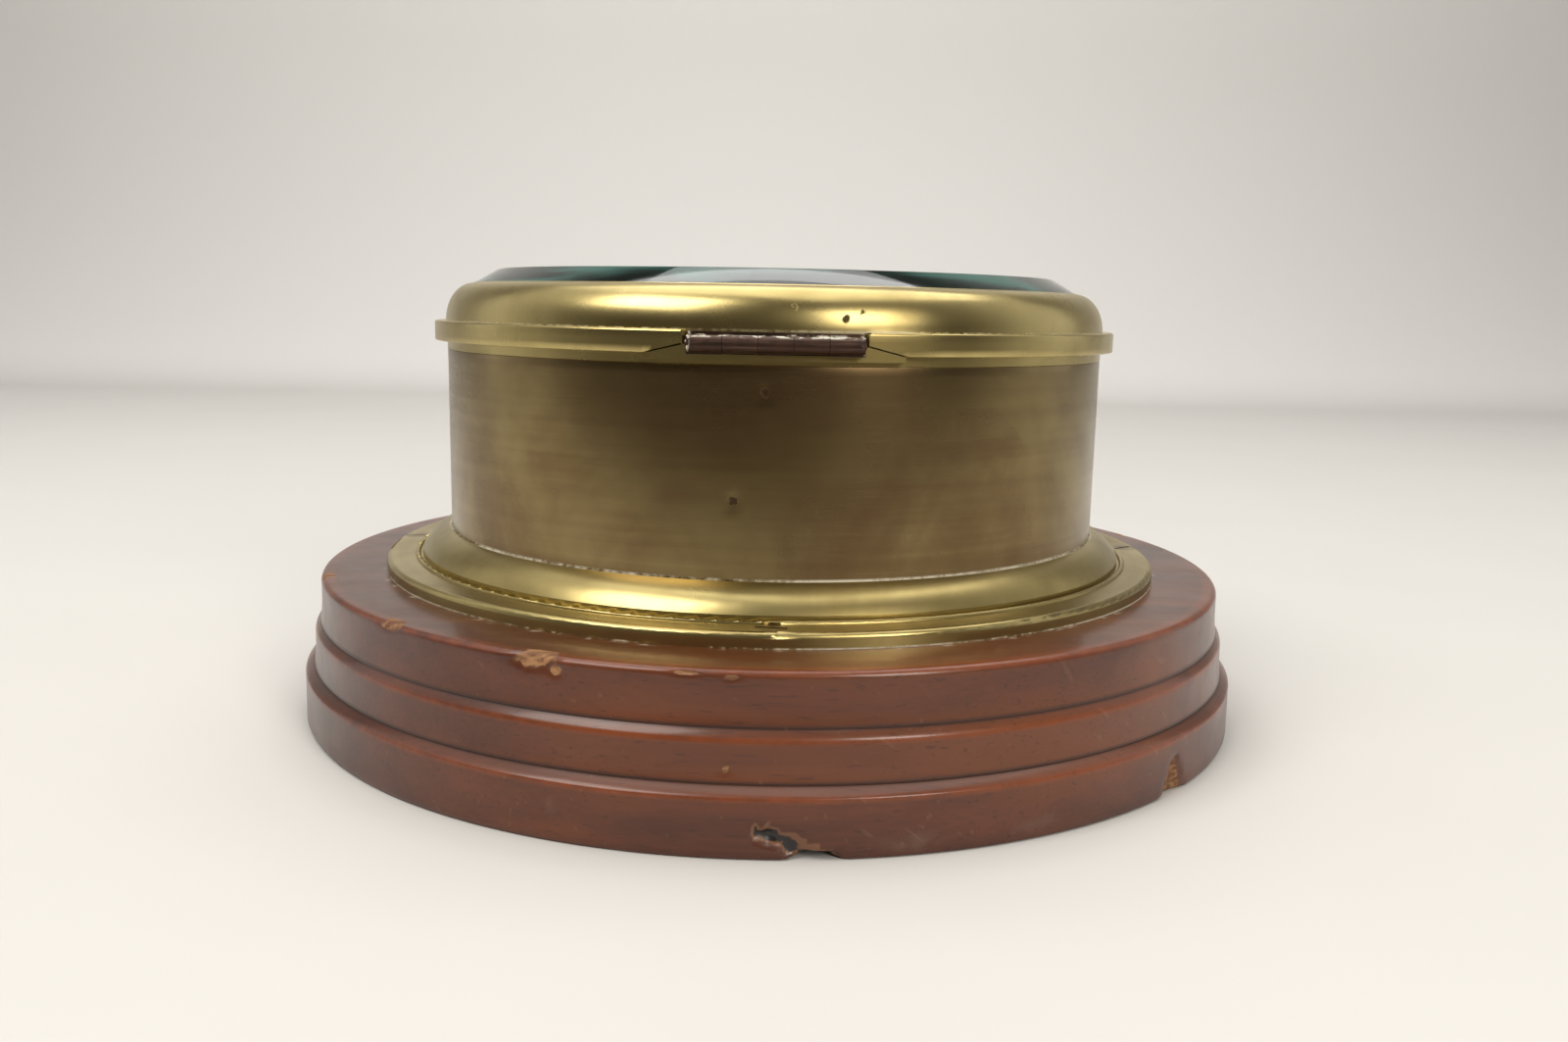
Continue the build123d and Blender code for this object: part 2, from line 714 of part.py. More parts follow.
with BuildPart() as bowl_pivot_screws:
    head_start = ring_outer_radius + 0.1
    tip_end = bowl_boss_end - 2.6
    for side in (-1, 1):
        with BuildSketch(Plane.XZ.offset(-side * head_start)):
            with Locations((0, gimbal_height)):
                Circle(bowl_pivot_head_radius)
        extrude(amount=-side * bowl_pivot_head)
        with BuildSketch(Plane.XZ.offset(-side * head_start)):
            with Locations((0, gimbal_height)):
                Circle(bowl_pivot_thread_radius)
        extrude(amount=side * (head_start - ring_inner_radius - 0.3))
        with BuildSketch(Plane.XZ.offset(-side * head_start)):
            with Locations((0, gimbal_height)):
                Circle(bowl_pivot_radius)
        extrude(amount=side * (head_start - tip_end))
        with BuildSketch(Plane.XZ.offset(-side * (head_start + bowl_pivot_head))):
            with Locations((0, gimbal_height)):
                Rectangle(3 * bowl_pivot_head_radius, 0.9, rotation=30)
        extrude(amount=side * 0.9, mode=Mode.SUBTRACT)
finish(bowl_pivot_screws, "bowl_pivot_screws")

# ===================================================================== bowl
plug_height = dish_top + plug_rise
plug_outward = Vector(1, 0, 0).rotate(Axis.Z, plug_azimuth)
plug_plane = Plane(origin=(0, 0, plug_height), x_dir=(0, 0, 1), z_dir=plug_outward)

with BuildPart() as compass_bowl:
    with BuildSketch(Plane.XZ):
        with BuildLine():
            Line((0, dish_floor), (0, dish_floor - bowl_wall))
            EllipticalCenterArc((0, dish_top), bowl_radius, bowl_dish_depth + bowl_wall, -90, arc_size=90)
            Polyline(
                (bowl_radius, dish_top),
                (bowl_radius, flange_top_z - bowl_flange_thickness),
                (bowl_flange_radius, flange_top_z - bowl_flange_thickness),
                (bowl_flange_radius, flange_top_z),
                (bowl_inner_radius, flange_top_z),
                (bowl_inner_radius, dish_top),
            )
            EllipticalCenterArc((0, dish_top), bowl_inner_radius, bowl_dish_depth, -90, arc_size=90)
        make_face()
    revolve(axis=Axis.Z)
    # bosses for the bowl's pivots
    for side in (-1, 1):
        with BuildSketch(Plane.XZ.offset(-side * (bowl_inner_radius + bowl_wall / 2))):
            with Locations((0, gimbal_height)):
                Circle(bowl_boss_radius)
        extrude(amount=-side * (bowl_boss_end - bowl_inner_radius - bowl_wall / 2))
        with BuildSketch(Plane.XZ.offset(-side * bowl_boss_end)):
            with Locations((0, gimbal_height)):
                Circle(bowl_pivot_radius + running_gap)
        extrude(amount=side * 3.0, mode=Mode.SUBTRACT)
    # flat boss under the bowl for its keel weight
    with BuildSketch(Plane.XY.offset(keel_top)):
        Circle(keel_radius)
    extrude(amount=dish_floor - keel_top - 0.5)
    with BuildSketch(Plane.XY.offset(keel_top)):
        Circle(stud_radius + seat_gap)
    extrude(amount=bowl_wall + keel_boss_drop + 1, mode=Mode.SUBTRACT)
    # filler boss and hole
    with BuildSketch(plug_plane.offset(bowl_inner_radius + bowl_wall / 2)):
        Circle(plug_boss_radius)
    extrude(amount=bowl_wall / 2 + plug_boss_reach)
    with BuildSketch(plug_plane.offset(bowl_inner_radius - 3)):
        Circle(plug_radius + seat_gap)
    extrude(amount=bowl_wall + plug_boss_reach + 4, mode=Mode.SUBTRACT)
    # seats for the verge ring's screws
    with Locations(Location((0, 0, verge_top))):
        with PolarLocations(verge_screw_circle, verge_screw_count, start_angle=22.5):
            add(verge_screw_seat, mode=Mode.SUBTRACT)
finish(compass_bowl, "compass_bowl")

with BuildPart() as bowl_gasket:
    with BuildSketch(Plane.XY.offset(flange_top_z)):
        Circle(bowl_glass_radius)
        Circle(bowl_inner_radius + seat_gap, mode=Mode.SUBTRACT)
    extrude(amount=bowl_gasket_thickness)
finish(bowl_gasket, "bowl_gasket")

with BuildPart() as bowl_glass:
    with BuildSketch(Plane.XY.offset(bowl_glass_bottom)):
        Circle(bowl_glass_radius)
    extrude(amount=bowl_glass_thickness)
finish(bowl_glass, "bowl_glass")

with BuildPart() as verge_ring:
    with BuildSketch(Plane.XZ):
        with BuildLine():
            verge_recess = bowl_glass_radius + glass_gap
            Polyline(
                (verge_recess, flange_top_z),
                (bowl_flange_radius, flange_top_z),
                (bowl_flange_radius, verge_top - 0.5),
                (bowl_flange_radius - 0.5, verge_top),
                (verge_inner_radius + verge_lip / 2, verge_top),
                (verge_inner_radius, verge_top - verge_lip / 2),
                (verge_inner_radius, bowl_glass_top),
                (verge_recess, bowl_glass_top),
                close=True,
            )
        make_face()
    revolve(axis=Axis.Z)
    with Locations(Location((0, 0, verge_top))):
        with PolarLocations(verge_screw_circle, verge_screw_count, start_angle=22.5):
            add(verge_screw_seat, mode=Mode.SUBTRACT)
finish(verge_ring, "verge_ring")

with BuildPart() as verge_screws:
    with Locations(Location((0, 0, verge_top))):
        with PolarLocations(verge_screw_circle, verge_screw_count, start_angle=22.5):
            add(verge_screw)
finish(verge_screws, "verge_screws")

with BuildPart() as filler_washer:
    with BuildSketch(plug_plane.offset(bowl_radius + plug_boss_reach)):
        Circle(plug_head_radius)
        Circle(plug_radius + seat_gap, mode=Mode.SUBTRACT)
    extrude(amount=plug_washer_thickness)
finish(filler_washer, "filler_washer")

with BuildPart() as filler_plug:
    plug_seat = bowl_radius + plug_boss_reach + plug_washer_thickness
    with BuildSketch(plug_plane.offset(plug_seat)):
        Circle(plug_head_radius)
    extrude(amount=2.0)
    with BuildSketch(plug_plane.offset(bowl_inner_radius + 0.5)):
        Circle(plug_radius)
    extrude(amount=plug_seat - bowl_inner_radius - 0.5)
    with BuildSketch(plug_plane.offset(plug_seat + 1.0)):
        Rectangle(3 * plug_head_radius, 1.2)
    extrude(amount=1.0, mode=Mode.SUBTRACT)
finish(filler_plug, "filler_plug")

with BuildPart() as keel_weight:
    with BuildSketch(Plane.XY.offset(keel_bottom)):
        Circle(keel_radius)
        Circle(stud_radius + seat_gap, mode=Mode.SUBTRACT)
    extrude(amount=keel_thickness)
    with BuildSketch(Plane.XY.offset(keel_bottom)):
        Circle(nut_across_flats * 0.75)
    extrude(amount=nut_thickness, mode=Mode.SUBTRACT)
    chamfer(keel_weight.edges().group_by(Axis.Z)[0].sort_by(SortBy.LENGTH)[-1], 1.0)
finish(keel_weight, "keel_weight")

with BuildPart() as keel_nut:
    with BuildSketch(Plane.XY.offset(keel_bottom)):
        RegularPolygon(nut_across_flats / 2, 6, major_radius=False)
        Circle(stud_radius + seat_gap, mode=Mode.SUBTRACT)
    extrude(amount=nut_thickness)
finish(keel_nut, "keel_nut")

with BuildPart() as pivot_post:
    with BuildSketch(Plane.XZ):
        with BuildLine():
            post_top = float_bottom + 4.0
            Polyline(
                (0, keel_bottom),
                (stud_radius, keel_bottom),
                (stud_radius, dish_floor + 0.3),
                (post_foot_radius, dish_floor + 0.3),
                (post_foot_radius, dish_floor + post_foot_thickness),
                (post_radius, dish_floor + post_foot_thickness + 3),
                (post_radius, post_top - 6),
                (point_radius + 0.6, post_top),
                (point_radius + seat_gap, post_top),
                (point_radius + seat_gap, post_top - 5),
                (0, post_top - 5),
                close=True,
            )
        make_face()
    revolve(axis=Axis.Z)
finish(pivot_post, "pivot_post")

with BuildPart() as pivot_point:
    with BuildSketch(Plane.XZ):
        with BuildLine():
            Polyline(
                (0, post_top - 5),
                (point_radius, post_top - 5),
                (point_radius, pivot_tip - 3),
                (0.1, pivot_tip),
                (0, pivot_tip),
                close=True,
            )
        make_face()
    revolve(axis=Axis.Z)
finish(pivot_point, "pivot_point")

with BuildPart() as lubber_line:
    with BuildSketch(Plane.XY.offset(card_bottom - 6)):
        Circle(bowl_inner_radius - seat_gap)
        Circle(bowl_inner_radius - lubber_foot_wall, mode=Mode.SUBTRACT)
        with Locations((0, bowl_inner_radius)):
            Rectangle(lubber_foot_width, 4 * lubber_foot_width, mode=Mode.INTERSECT)
    extrude(amount=lubber_foot_height)
    with BuildSketch(Plane.XY.offset(card_bottom - 3)):
        with BuildLine():
            tip = card_radius + lubber_gap
            root = bowl_inner_radius - lubber_foot_wall / 2
            Polyline(
                (-lubber_thickness, root),
                (-lubber_tip, tip),
                (lubber_tip, tip),
                (lubber_thickness, root),
                close=True,
            )
        make_face()
    extrude(amount=lubber_height)
finish(lubber_line, "lubber_line")

# ===================================================================== card
with BuildPart() as compass_card:
    with BuildSketch(Plane.XY.offset(card_bottom)):
        Circle(card_radius)
        Circle(cap_spigot_radius + seat_gap, mode=Mode.SUBTRACT)
    extrude(amount=card_thickness)
finish(compass_card, "compass_card")

with BuildPart() as card_float:
    with BuildSketch(Plane.XZ):
        with BuildLine():
            Polyline(
                (cap_spigot_radius + seat_gap, card_bottom),
                (float_radius, card_bottom),
                (float_radius, card_bottom - float_depth / 2),
                (float_radius / 2, float_bottom),
                (float_mouth_radius, float_bottom),
                (float_mouth_radius, float_bottom + float_wall),
                (float_radius / 2 - float_mouth_slope, float_bottom + float_wall),
                (float_radius - float_wall, card_bottom - float_depth / 2 + 0.3),
                (float_radius - float_wall, card_bottom - float_wall),
                (cap_spigot_radius + seat_gap, card_bottom - float_wall),
                close=True,
            )
        make_face()
    revolve(axis=Axis.Z)
finish(card_float, "card_float")

with BuildPart() as card_cap:
    with BuildSketch(Plane.XZ):
        with BuildLine():
            Polyline(
                (3.2, card_bottom - 1.5),
                (cap_spigot_radius, card_bottom - 1.5),
                (cap_spigot_radius, card_top),
                (cap_radius, card_top),
                (cap_radius, card_top + 0.8),
                (cap_radius * 0.45, card_top + cap_height),
                (0, card_top + cap_height),
                (0, jewel_bottom + jewel_height + seat_gap),
                (jewel_radius + seat_gap, jewel_bottom + jewel_height + seat_gap),
                (jewel_radius + seat_gap, jewel_bottom),
                close=True,
            )
        make_face()
    revolve(axis=Axis.Z)
finish(card_cap, "card_cap")

with BuildPart() as jewel:
    with BuildSketch(Plane.XY.offset(jewel_bottom)):
        Circle(jewel_radius)
    extrude(amount=jewel_height)
finish(jewel, "jewel")

with BuildPart() as card_magnets:
    with BuildSketch(Plane.XY.offset(card_bottom - magnet_side)):
        for offset in (inner_magnet_offset, outer_magnet_offset):
            half_length = sqrt((card_radius - magnet_margin) ** 2 - (offset + magnet_side / 2) ** 2)
            with Locations((-offset, 0), (offset, 0)):
                Rectangle(magnet_side, 2 * half_length)
    extrude(amount=magnet_side)
finish(card_magnets, "card_magnets")
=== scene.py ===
"""Binnacle compass: its finished surfaces, dial, stage and camera, laid out as a Blender add-on and run as a script.

Metres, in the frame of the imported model: the origin is the centre of the base's underside, +Z is up and the lid's
hinge is on the -Y side.
"""
from math import cos, pi, radians, sin, tau

import bpy
import numpy as np
from mathutils import Matrix, Vector


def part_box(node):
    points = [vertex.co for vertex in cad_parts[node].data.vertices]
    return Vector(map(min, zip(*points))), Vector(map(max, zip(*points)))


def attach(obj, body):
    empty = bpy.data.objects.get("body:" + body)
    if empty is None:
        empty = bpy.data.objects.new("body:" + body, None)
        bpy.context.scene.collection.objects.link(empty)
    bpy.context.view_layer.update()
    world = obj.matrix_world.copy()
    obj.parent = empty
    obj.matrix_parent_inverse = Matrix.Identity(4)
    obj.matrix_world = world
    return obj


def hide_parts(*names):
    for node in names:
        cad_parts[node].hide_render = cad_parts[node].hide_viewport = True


bl_info = {
    "name": "Binnacle Compass",
    "version": (1, 0, 0),
    "blender": (4, 5, 0),
    "location": "View3D > Sidebar > Compass",
    "description": "Dresses a packed binnacle compass: turned base, brasswork, glass, dial and stage",
    "category": "Object",
}

MM = 0.001
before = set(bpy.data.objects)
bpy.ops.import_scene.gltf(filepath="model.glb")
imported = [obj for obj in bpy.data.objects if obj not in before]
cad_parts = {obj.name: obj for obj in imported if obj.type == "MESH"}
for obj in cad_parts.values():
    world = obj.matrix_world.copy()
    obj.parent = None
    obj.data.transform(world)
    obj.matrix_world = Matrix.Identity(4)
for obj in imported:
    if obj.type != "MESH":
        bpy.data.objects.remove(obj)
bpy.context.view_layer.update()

foot_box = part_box("wood_base")
flange_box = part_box("flange_ring")
drum_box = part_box("case_drum")
lid_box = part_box("bezel_ring")
glass_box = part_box("bezel_glass")
card_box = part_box("compass_card")
hinge_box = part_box("hinge_case_leaf")


# ------------------------------------------------------------------ properties
def length(label, default, about):
    """A size in metres for the sidebar."""
    return bpy.props.FloatProperty(
        name=label, description=about, default=default, min=0.0, unit="LENGTH", precision=5
    )


def colour(label, default, about):
    """A linear colour for the sidebar."""
    return bpy.props.FloatVectorProperty(
        name=label, description=about, default=default, size=3, min=0.0, max=1.0, subtype="COLOR"
    )


class CompassBaseProps(bpy.types.PropertyGroup):
    """Sizes and colours of the turned base"""

    foot_radius: length("Foot radius", foot_box[1].x, "Radius of the lowest tier")
    foot_height: length("Foot height", 15.0 * MM, "Height of the lowest tier")
    waist_radius: length("Waist radius", 125.6 * MM, "Radius of the middle tier")
    waist_height: length("Waist height", 11.0 * MM, "Height of the middle tier")
    deck_radius: length("Deck radius", 123.7 * MM, "Radius of the top tier")
    shoulder: length("Shoulder", 2.3 * MM, "Height of the sloping shoulders of the two lower tiers")
    quirk: length("Quirk", 0.22 * MM, "Depth of the fine line above each shoulder")
    flare: length("Flare", 0.5 * MM, "How far each wall spreads at its foot")
    wood_dark: colour("Dark grain", (0.045, 0.0105, 0.0035), "Latewood and pores of the mahogany")
    wood_mid: colour("Mid grain", (0.125, 0.0300, 0.0080), "The mahogany's body colour")
    wood_light: colour("Light grain", (0.225, 0.068, 0.017), "Bright ribbon figure")
    wood_raw: colour("Raw wood", (0.36, 0.185, 0.080), "Bare wood in chips")


class CompassBrassProps(bpy.types.PropertyGroup):
    """Colours of the brasswork"""

    bright: colour("Polished brass", (0.56, 0.455, 0.195), "Rubbed and polished brass")
    tarnish: colour("Tarnish", (0.31, 0.235, 0.090), "Olive tarnish in hollows and patches")
    patina: colour("Patina", (0.175, 0.112, 0.054), "Brown patina of the drum")
    patina_light: colour("Rubbed patina", (0.33, 0.255, 0.115), "Where the drum's patina has been rubbed")
    bronze: colour("Hinge bronze", (0.072, 0.038, 0.026), "Dark hinge barrel")
    residue: colour("Polish residue", (0.74, 0.70, 0.58), "Dried metal polish left in seams")


class CompassLidProps(bpy.types.PropertyGroup):
    """Sizes and tints of the lid and its glass"""

    band_height: length("Band height", 5.1 * MM, "Height of the lid's flat band")
    band_bead: length("Band bead", 0.6 * MM, "Rounding along the band's upper edge")
    dome_foot_radius: length("Dome foot radius", 90.3 * MM, "Radius where the dome meets the band")
    lip_radius: length("Lip radius", 83.0 * MM, "Radius of the lip around the glass")
    bore_radius: length("Bore radius", 89.0 * MM, "Radius inside the band")
    glass_bore: length("Glass bore", 84.3 * MM, "Radius of the seat around the glass")
    thread_radius: length("Thread radius", 86.05 * MM, "Radius of the bore for the retaining ring")
    bevel_width: length("Bevel width", 7.5 * MM, "Width of the glass's bevel")
    bevel_height: length("Bevel height", 4.37 * MM, "Height of the glass's bevel")
    glass_tint: colour("Glass tint", (0.89, 0.965, 0.935), "Faint green of plate glass, seen through its faces")
    edge_tint: colour("Edge tint", (0.58, 0.86, 0.78), "Green of the bevel and the edge")


class CompassDialProps(bpy.types.PropertyGroup):
    """Colours of the card and its printing"""

    card_colour: colour("Card", (0.72, 0.67, 0.52), "Aged white enamel of the card")
    ink_colour: colour("Ink", (0.022, 0.020, 0.024), "Black of the scale and the rose")
    ink_height: length("Ink height", 0.04 * MM, "How far the printing stands above the card")


class CompassStageProps(bpy.types.PropertyGroup):
    """Floor, backdrop and camera"""

    floor_colour: colour("Floor", (0.66, 0.645, 0.62), "Pale floor and backdrop")
    wall_colour: colour("Wall", (0.86, 0.85, 0.83), "Paler upper part of the backdrop")
    # painted shade: the floor far in front is darkened so that the drum mirrors darkness there
    front_colour: colour("Front", (0.10, 0.085, 0.065), "Darker floor far in front, which the drum mirrors")
    lens: bpy.props.FloatProperty(name="Lens", description="Focal length", default=29.53, unit="CAMERA")
    camera_place: bpy.props.FloatVectorProperty(
        name="Camera", description="Where the camera stands", default=(-0.0010, -0.3690, 0.1084), size=3,
        subtype="TRANSLATION",
    )
    heading: bpy.props.FloatProperty(
        name="Heading", description="Turn to the right", default=radians(0.72), subtype="ANGLE"
    )
    pitch: bpy.props.FloatProperty(name="Pitch", description="Tilt down", default=radians(9.42), subtype="ANGLE")
    roll: bpy.props.FloatProperty(
        name="Roll", description="Turn about the lens", default=radians(1.14), subtype="ANGLE"
    )


# ---------------------------------------------------------------- shader graphs
class Value:
    """A shader socket. Sums on it, in either order, add Math nodes."""

    def __init__(self, graph, socket):
        self.graph = graph
        self.socket = socket

    def math(self, operation, *values):
        return self.graph.node("ShaderNodeMath", {"operation": operation}, dict(enumerate(values)))

    def __add__(self, other):
        return self.math("ADD", self, other)

    def __radd__(self, other):
        return self.math("ADD", other, self)

    def __sub__(self, other):
        return self.math("SUBTRACT", self, other)

    def __rsub__(self, other):
        return self.math("SUBTRACT", other, self)

    def __mul__(self, other):
        return self.math("MULTIPLY", self, other)

    def __rmul__(self, other):
        return self.math("MULTIPLY", other, self)

    def __truediv__(self, other):
        return self.math("DIVIDE", self, other)

    def __pow__(self, other):
        return self.math("POWER", self, other)

    def __abs__(self):
        return self.math("ABSOLUTE", self)

    def step(self, low, high):
        """0 below low, 1 above high and a smooth rise between; low above high gives a fall."""
        ends = {"Value": self, "From Min": low, "From Max": high}
        return self.graph.node("ShaderNodeMapRange", {"interpolation_type": "SMOOTHSTEP"}, ends)

    def near(self, place, width):
        """1 at a value, falling smoothly to 0 at that distance from it."""
        return abs(self - place).step(width, 0.0)


class Graph:
    """The nodes of one material, or of the world."""

    def __init__(self, name, kind="materials"):
        self.owner = getattr(bpy.data, kind).new(name)
        self.owner.use_nodes = True
        self.tree = self.owner.node_tree
        self.tree.nodes.clear()

    def node(self, kind, settings=None, inputs=None, output=0):
        """Any node: its type, its settings, which are set first, and its sockets' values or links."""
        made = self.tree.nodes.new(kind)
        for key, value in (settings or {}).items():
            setattr(made, key, value)
        for key, value in (inputs or {}).items():
            socket = made.inputs[key]
            if isinstance(value, Value):
                self.tree.links.new(value.socket, socket)
            elif socket.type == "RGBA":
                socket.default_value = (*value[:3], 1.0)
            else:
                socket.default_value = value
        return Value(self, made.outputs[output]) if made.outputs else None

    def place(self):
        """The point on the piece, in metres."""
        return self.node("ShaderNodeTexCoord", output="Object")

    def split(self, vector, axes="XYZ"):
        """The vector's numbers on the axes named."""
        return [self.node("ShaderNodeSeparateXYZ", None, {0: vector}, output=axis) for axis in axes]

    def stretched(self, vector, scale):
        """The vector with each axis multiplied by its own number."""
        return self.node("ShaderNodeVectorMath", {"operation": "MULTIPLY"}, {0: vector, 1: scale})

    def moved(self, vector, amount):
        return self.node("ShaderNodeVectorMath", {"operation": "ADD"}, {0: vector, 1: amount})

    def noise(self, vector, scale, detail=2.0, roughness=0.5, distortion=0.0):
        inputs = {"Vector": vector, "Scale": scale, "Detail": detail}
        inputs |= {"Roughness": roughness, "Distortion": distortion}
        return self.node("ShaderNodeTexNoise", None, inputs)

    def attribute(self, name):
        return self.node("ShaderNodeAttribute", {"attribute_name": name}, output="Fac")

    def mix(self, factor, first, second):
        """A colour between two, as far along as the factor says."""
        return self.node("ShaderNodeMix", {"data_type": "RGBA"}, {0: factor, 6: first, 7: second}, output=2)

    def distance(self, vector, point):
        return self.node("ShaderNodeVectorMath", {"operation": "DISTANCE"}, {0: vector, 1: point}, output="Value")

    def bump(self, height, depth, strength=1.0, below=None):
        inputs = {"Height": height, "Distance": depth, "Strength": strength}
        if below is not None:
            inputs["Normal"] = below
        return self.node("ShaderNodeBump", None, inputs)

    def principled(self, **sockets):
        """A Principled shader; a word like Base_Color names the socket Base Color."""
        inputs = {key.replace("_", " "): value for key, value in sockets.items()}
        return self.node("ShaderNodeBsdfPrincipled", None, inputs)

    def finished(self, shader):
        """Ends the material with a shader."""
        self.node("ShaderNodeOutputMaterial", None, {"Surface": shader})
        return self.owner

    def surface(self, **sockets):
        return self.finished(self.principled(**sockets))


def scratches(g, place, scale, share):
    """Fine straight scratches two ways: noise stretched about forty to one, kept where it is highest."""
    about_axis = {"rotation_type": "AXIS_ANGLE"}
    turned_one = g.node("ShaderNodeVectorRotate", about_axis, {0: place, 2: (0.2, 0.3, 1.0), 3: 0.6})
    turned_two = g.node("ShaderNodeVectorRotate", about_axis, {0: place, 2: (0.5, 1.0, 0.2), 3: -0.9})
    one = g.noise(g.stretched(turned_one, (1.0, 0.025, 0.6)), scale, 2.0)
    two = g.noise(g.stretched(turned_two, (0.02, 1.0, 0.8)), scale * 0.8, 2.0)
    return one.math("MAXIMUM", one, two).step(share, share + 0.05)


# -------------------------------------------------------------------- materials
def mahogany(props):
    """Polished mahogany: grain along X in soft bands with fine dark flecks, worn arrises brightened orange with a
    painted highlight, painted shade in the creases and in the gouge's hole, and bare chips.
    """
    g = Graph("mahogany")
    place = g.place()
    x, y, z = g.split(place)
    ribbon = g.noise(g.stretched(place, (0.16, 1.0, 1.0)), 30.0, 3.0, 0.5, 0.3)
    bands = g.noise(g.stretched(place, (0.05, 0.6, 1.0)), 150.0, 3.0, 0.5)
    fibre = g.noise(g.stretched(place, (0.035, 1.0, 1.0)), 900.0, 4.0, 0.6)
    flecks = g.noise(g.stretched(place, (0.07, 1.0, 1.0)), 1500.0, 2.0, 0.5).step(0.60, 0.72)
    tone = (ribbon * 0.45 + bands * 0.35 + fibre * 0.20).step(0.30, 0.72)
    body = g.mix(tone, props.wood_dark, props.wood_mid)
    body = g.mix(ribbon.step(0.48, 0.80) * 0.40, body, props.wood_light)
    body = g.mix(flecks * 0.45, body, (0.022, 0.007, 0.004))
    broken = g.noise(place, 240.0, 4.0, 0.65)
    # brighter orange along the arrises: partly varnish rubbed thin there, partly a painted highlight on the rounded
    # edges
    edge = g.attribute("edge") * (broken * 0.9 + ribbon * 0.6).step(0.45, 0.95)
    body = g.mix(edge * 0.65, body, (0.26, 0.058, 0.015))
    # painted shade: the concave corners above the shoulders are darkened
    painted_crease_shade = g.attribute("painted_crease_shade")
    body = g.mix(painted_crease_shade * 0.75, body, (0.020, 0.008, 0.005))
    # bare wood in the chips, dirty at its borders
    chip = g.attribute("chip") + (broken - 0.5) * 0.55
    wear = chip.step(0.38, 0.50)
    raw = g.mix(fibre.step(0.38, 0.66), (0.135, 0.055, 0.024), props.wood_raw)
    body = g.mix(chip.step(0.18, 0.40) * 0.7, body, (0.115, 0.042, 0.018))
    body = g.mix(wear, body, raw)
    gouge = g.attribute("gouge") + (broken - 0.5) * 0.6
    body = g.mix(gouge.step(0.25, 0.42), body, (0.17, 0.070, 0.030))
    # painted shade: the middle of the gouge's hole is near black
    body = g.mix(gouge.step(0.52, 0.68), body, (0.012, 0.008, 0.007))
    bruise = g.attribute("bruise") * broken.step(0.30, 0.60)
    body = g.mix(bruise * 0.45, body, (0.15, 0.085, 0.060))
    haze = g.noise(place, 55.0, 4.0, 0.6)
    scuffs = scratches(g, place, 620.0, 0.70)
    body = g.mix(scuffs * 0.10, body, (0.36, 0.20, 0.12))
    # dust on the deck beside the flange
    radius = (x * x + y * y) ** 0.5
    smear = radius.near(0.1078, 0.0013) * z.step(0.0365, 0.0372) * g.noise(place, 240.0, 3.0).step(0.54, 0.70)
    body = g.mix(smear * 0.55, body, (0.50, 0.42, 0.33))
    rough = haze.step(0.25, 0.8) * 0.10 + 0.34 + wear * 0.35 + painted_crease_shade * 0.20 + bruise * 0.15
    dents = g.noise(place, 70.0, 2.0)
    height = fibre * 0.20 + flecks * -0.35 + scuffs * -0.35 - wear * 0.8
    normal = g.bump(height, 0.04 * MM, 0.5, g.bump(dents, 0.35 * MM, 0.30))
    return g.surface(
        Base_Color=body, Roughness=rough, Normal=normal, Coat_Weight=0.38 - wear * 0.34, Coat_Roughness=0.15,
        IOR=1.44,
    )


def brass(name, clean, dull, dullness, rough, props, streaks="level", seams=(), pits=(), polish=1.0):
    """Satin brass: clouds of tarnish over cleaned metal, fine turning marks, thin scratches, residue and pits.

    streaks is level for marks that run round a wall and turned for marks on faces cut across the axis; a seam is
    (radius, height, width) of a circle where dried polish stays; a pit is a point; polish scales the scratches.
    """
    g = Graph(name)
    place = g.place()
    x, y, z = g.split(place)
    radius = (x * x + y * y) ** 0.5
    cloud = g.noise(place, 17.0, 4.0, 0.55, 0.8)
    mottle = g.noise(place, 95.0, 4.0, 0.6, 0.3)
    if streaks == "level":
        across = g.stretched(place, (0.035, 0.035, 1.0))
    else:
        across = g.node("ShaderNodeCombineXYZ", None, {0: radius + z * 0.7, 1: x * 0.02, 2: y * 0.02})
    marks = g.noise(across, 2400.0, 3.0, 0.6)
    broad = g.noise(across, 330.0, 2.0)
    age = (cloud * 0.75 + mottle * 0.18 + broad * 0.20 - 0.565 + dullness).step(-0.20, 0.24)
    body = g.mix(age, clean, dull)
    body = g.mix((marks - 0.5).step(0.0, 0.25) * 0.16, body, clean)
    fine = scratches(g, place, 1300.0, 0.70) * polish
    body = g.mix(fine * 0.22, body, clean)
    grit = g.noise(place, 1500.0, 3.0, 0.65).step(0.70, 0.76) * mottle.step(0.42, 0.60)
    body = g.mix(grit * 0.6, body, (0.06, 0.040, 0.022))
    chalk = 0.0
    crumbs = g.noise(place, 620.0, 4.0, 0.7)
    for seam_radius, seam_height, width in seams:
        line = ((radius - seam_radius) ** 2.0 + (z - seam_height) ** 2.0) ** 0.5
        chalk = line.step(width, width * 0.2) * (crumbs * 0.8 + cloud * 0.9).step(0.70, 0.98) + chalk
    hole = 0.0
    ragged = (crumbs - 0.5) * 2.8 * MM
    for point in pits:
        hole = (g.distance(place, point) + ragged).step(1.15 * MM, 0.65 * MM) + hole
    if seams:
        body = g.mix(chalk * 0.8, body, props.residue)
    if pits:
        body = g.mix(hole * 0.8, body, (0.033, 0.019, 0.013))
    blotch = g.noise(g.moved(place, (0.3, 0.1, 0.2)), 30.0, 4.0, 0.55)
    roughness = rough + age * 0.09 + (blotch - 0.5) * 0.14 + chalk * 0.35 + hole * 0.4
    height = marks * 0.5 + fine * -0.3 + grit * -0.8 + chalk * 0.9 - hole * 1.6
    normal = g.bump(height, 0.012 * MM, 0.6, g.bump(g.noise(place, 26.0, 1.0), 0.25 * MM, 0.25))
    metallic = 1.0 - chalk * 0.95 if seams else 1.0
    return g.surface(Base_Color=body, Roughness=roughness, Metallic=metallic, Normal=normal)


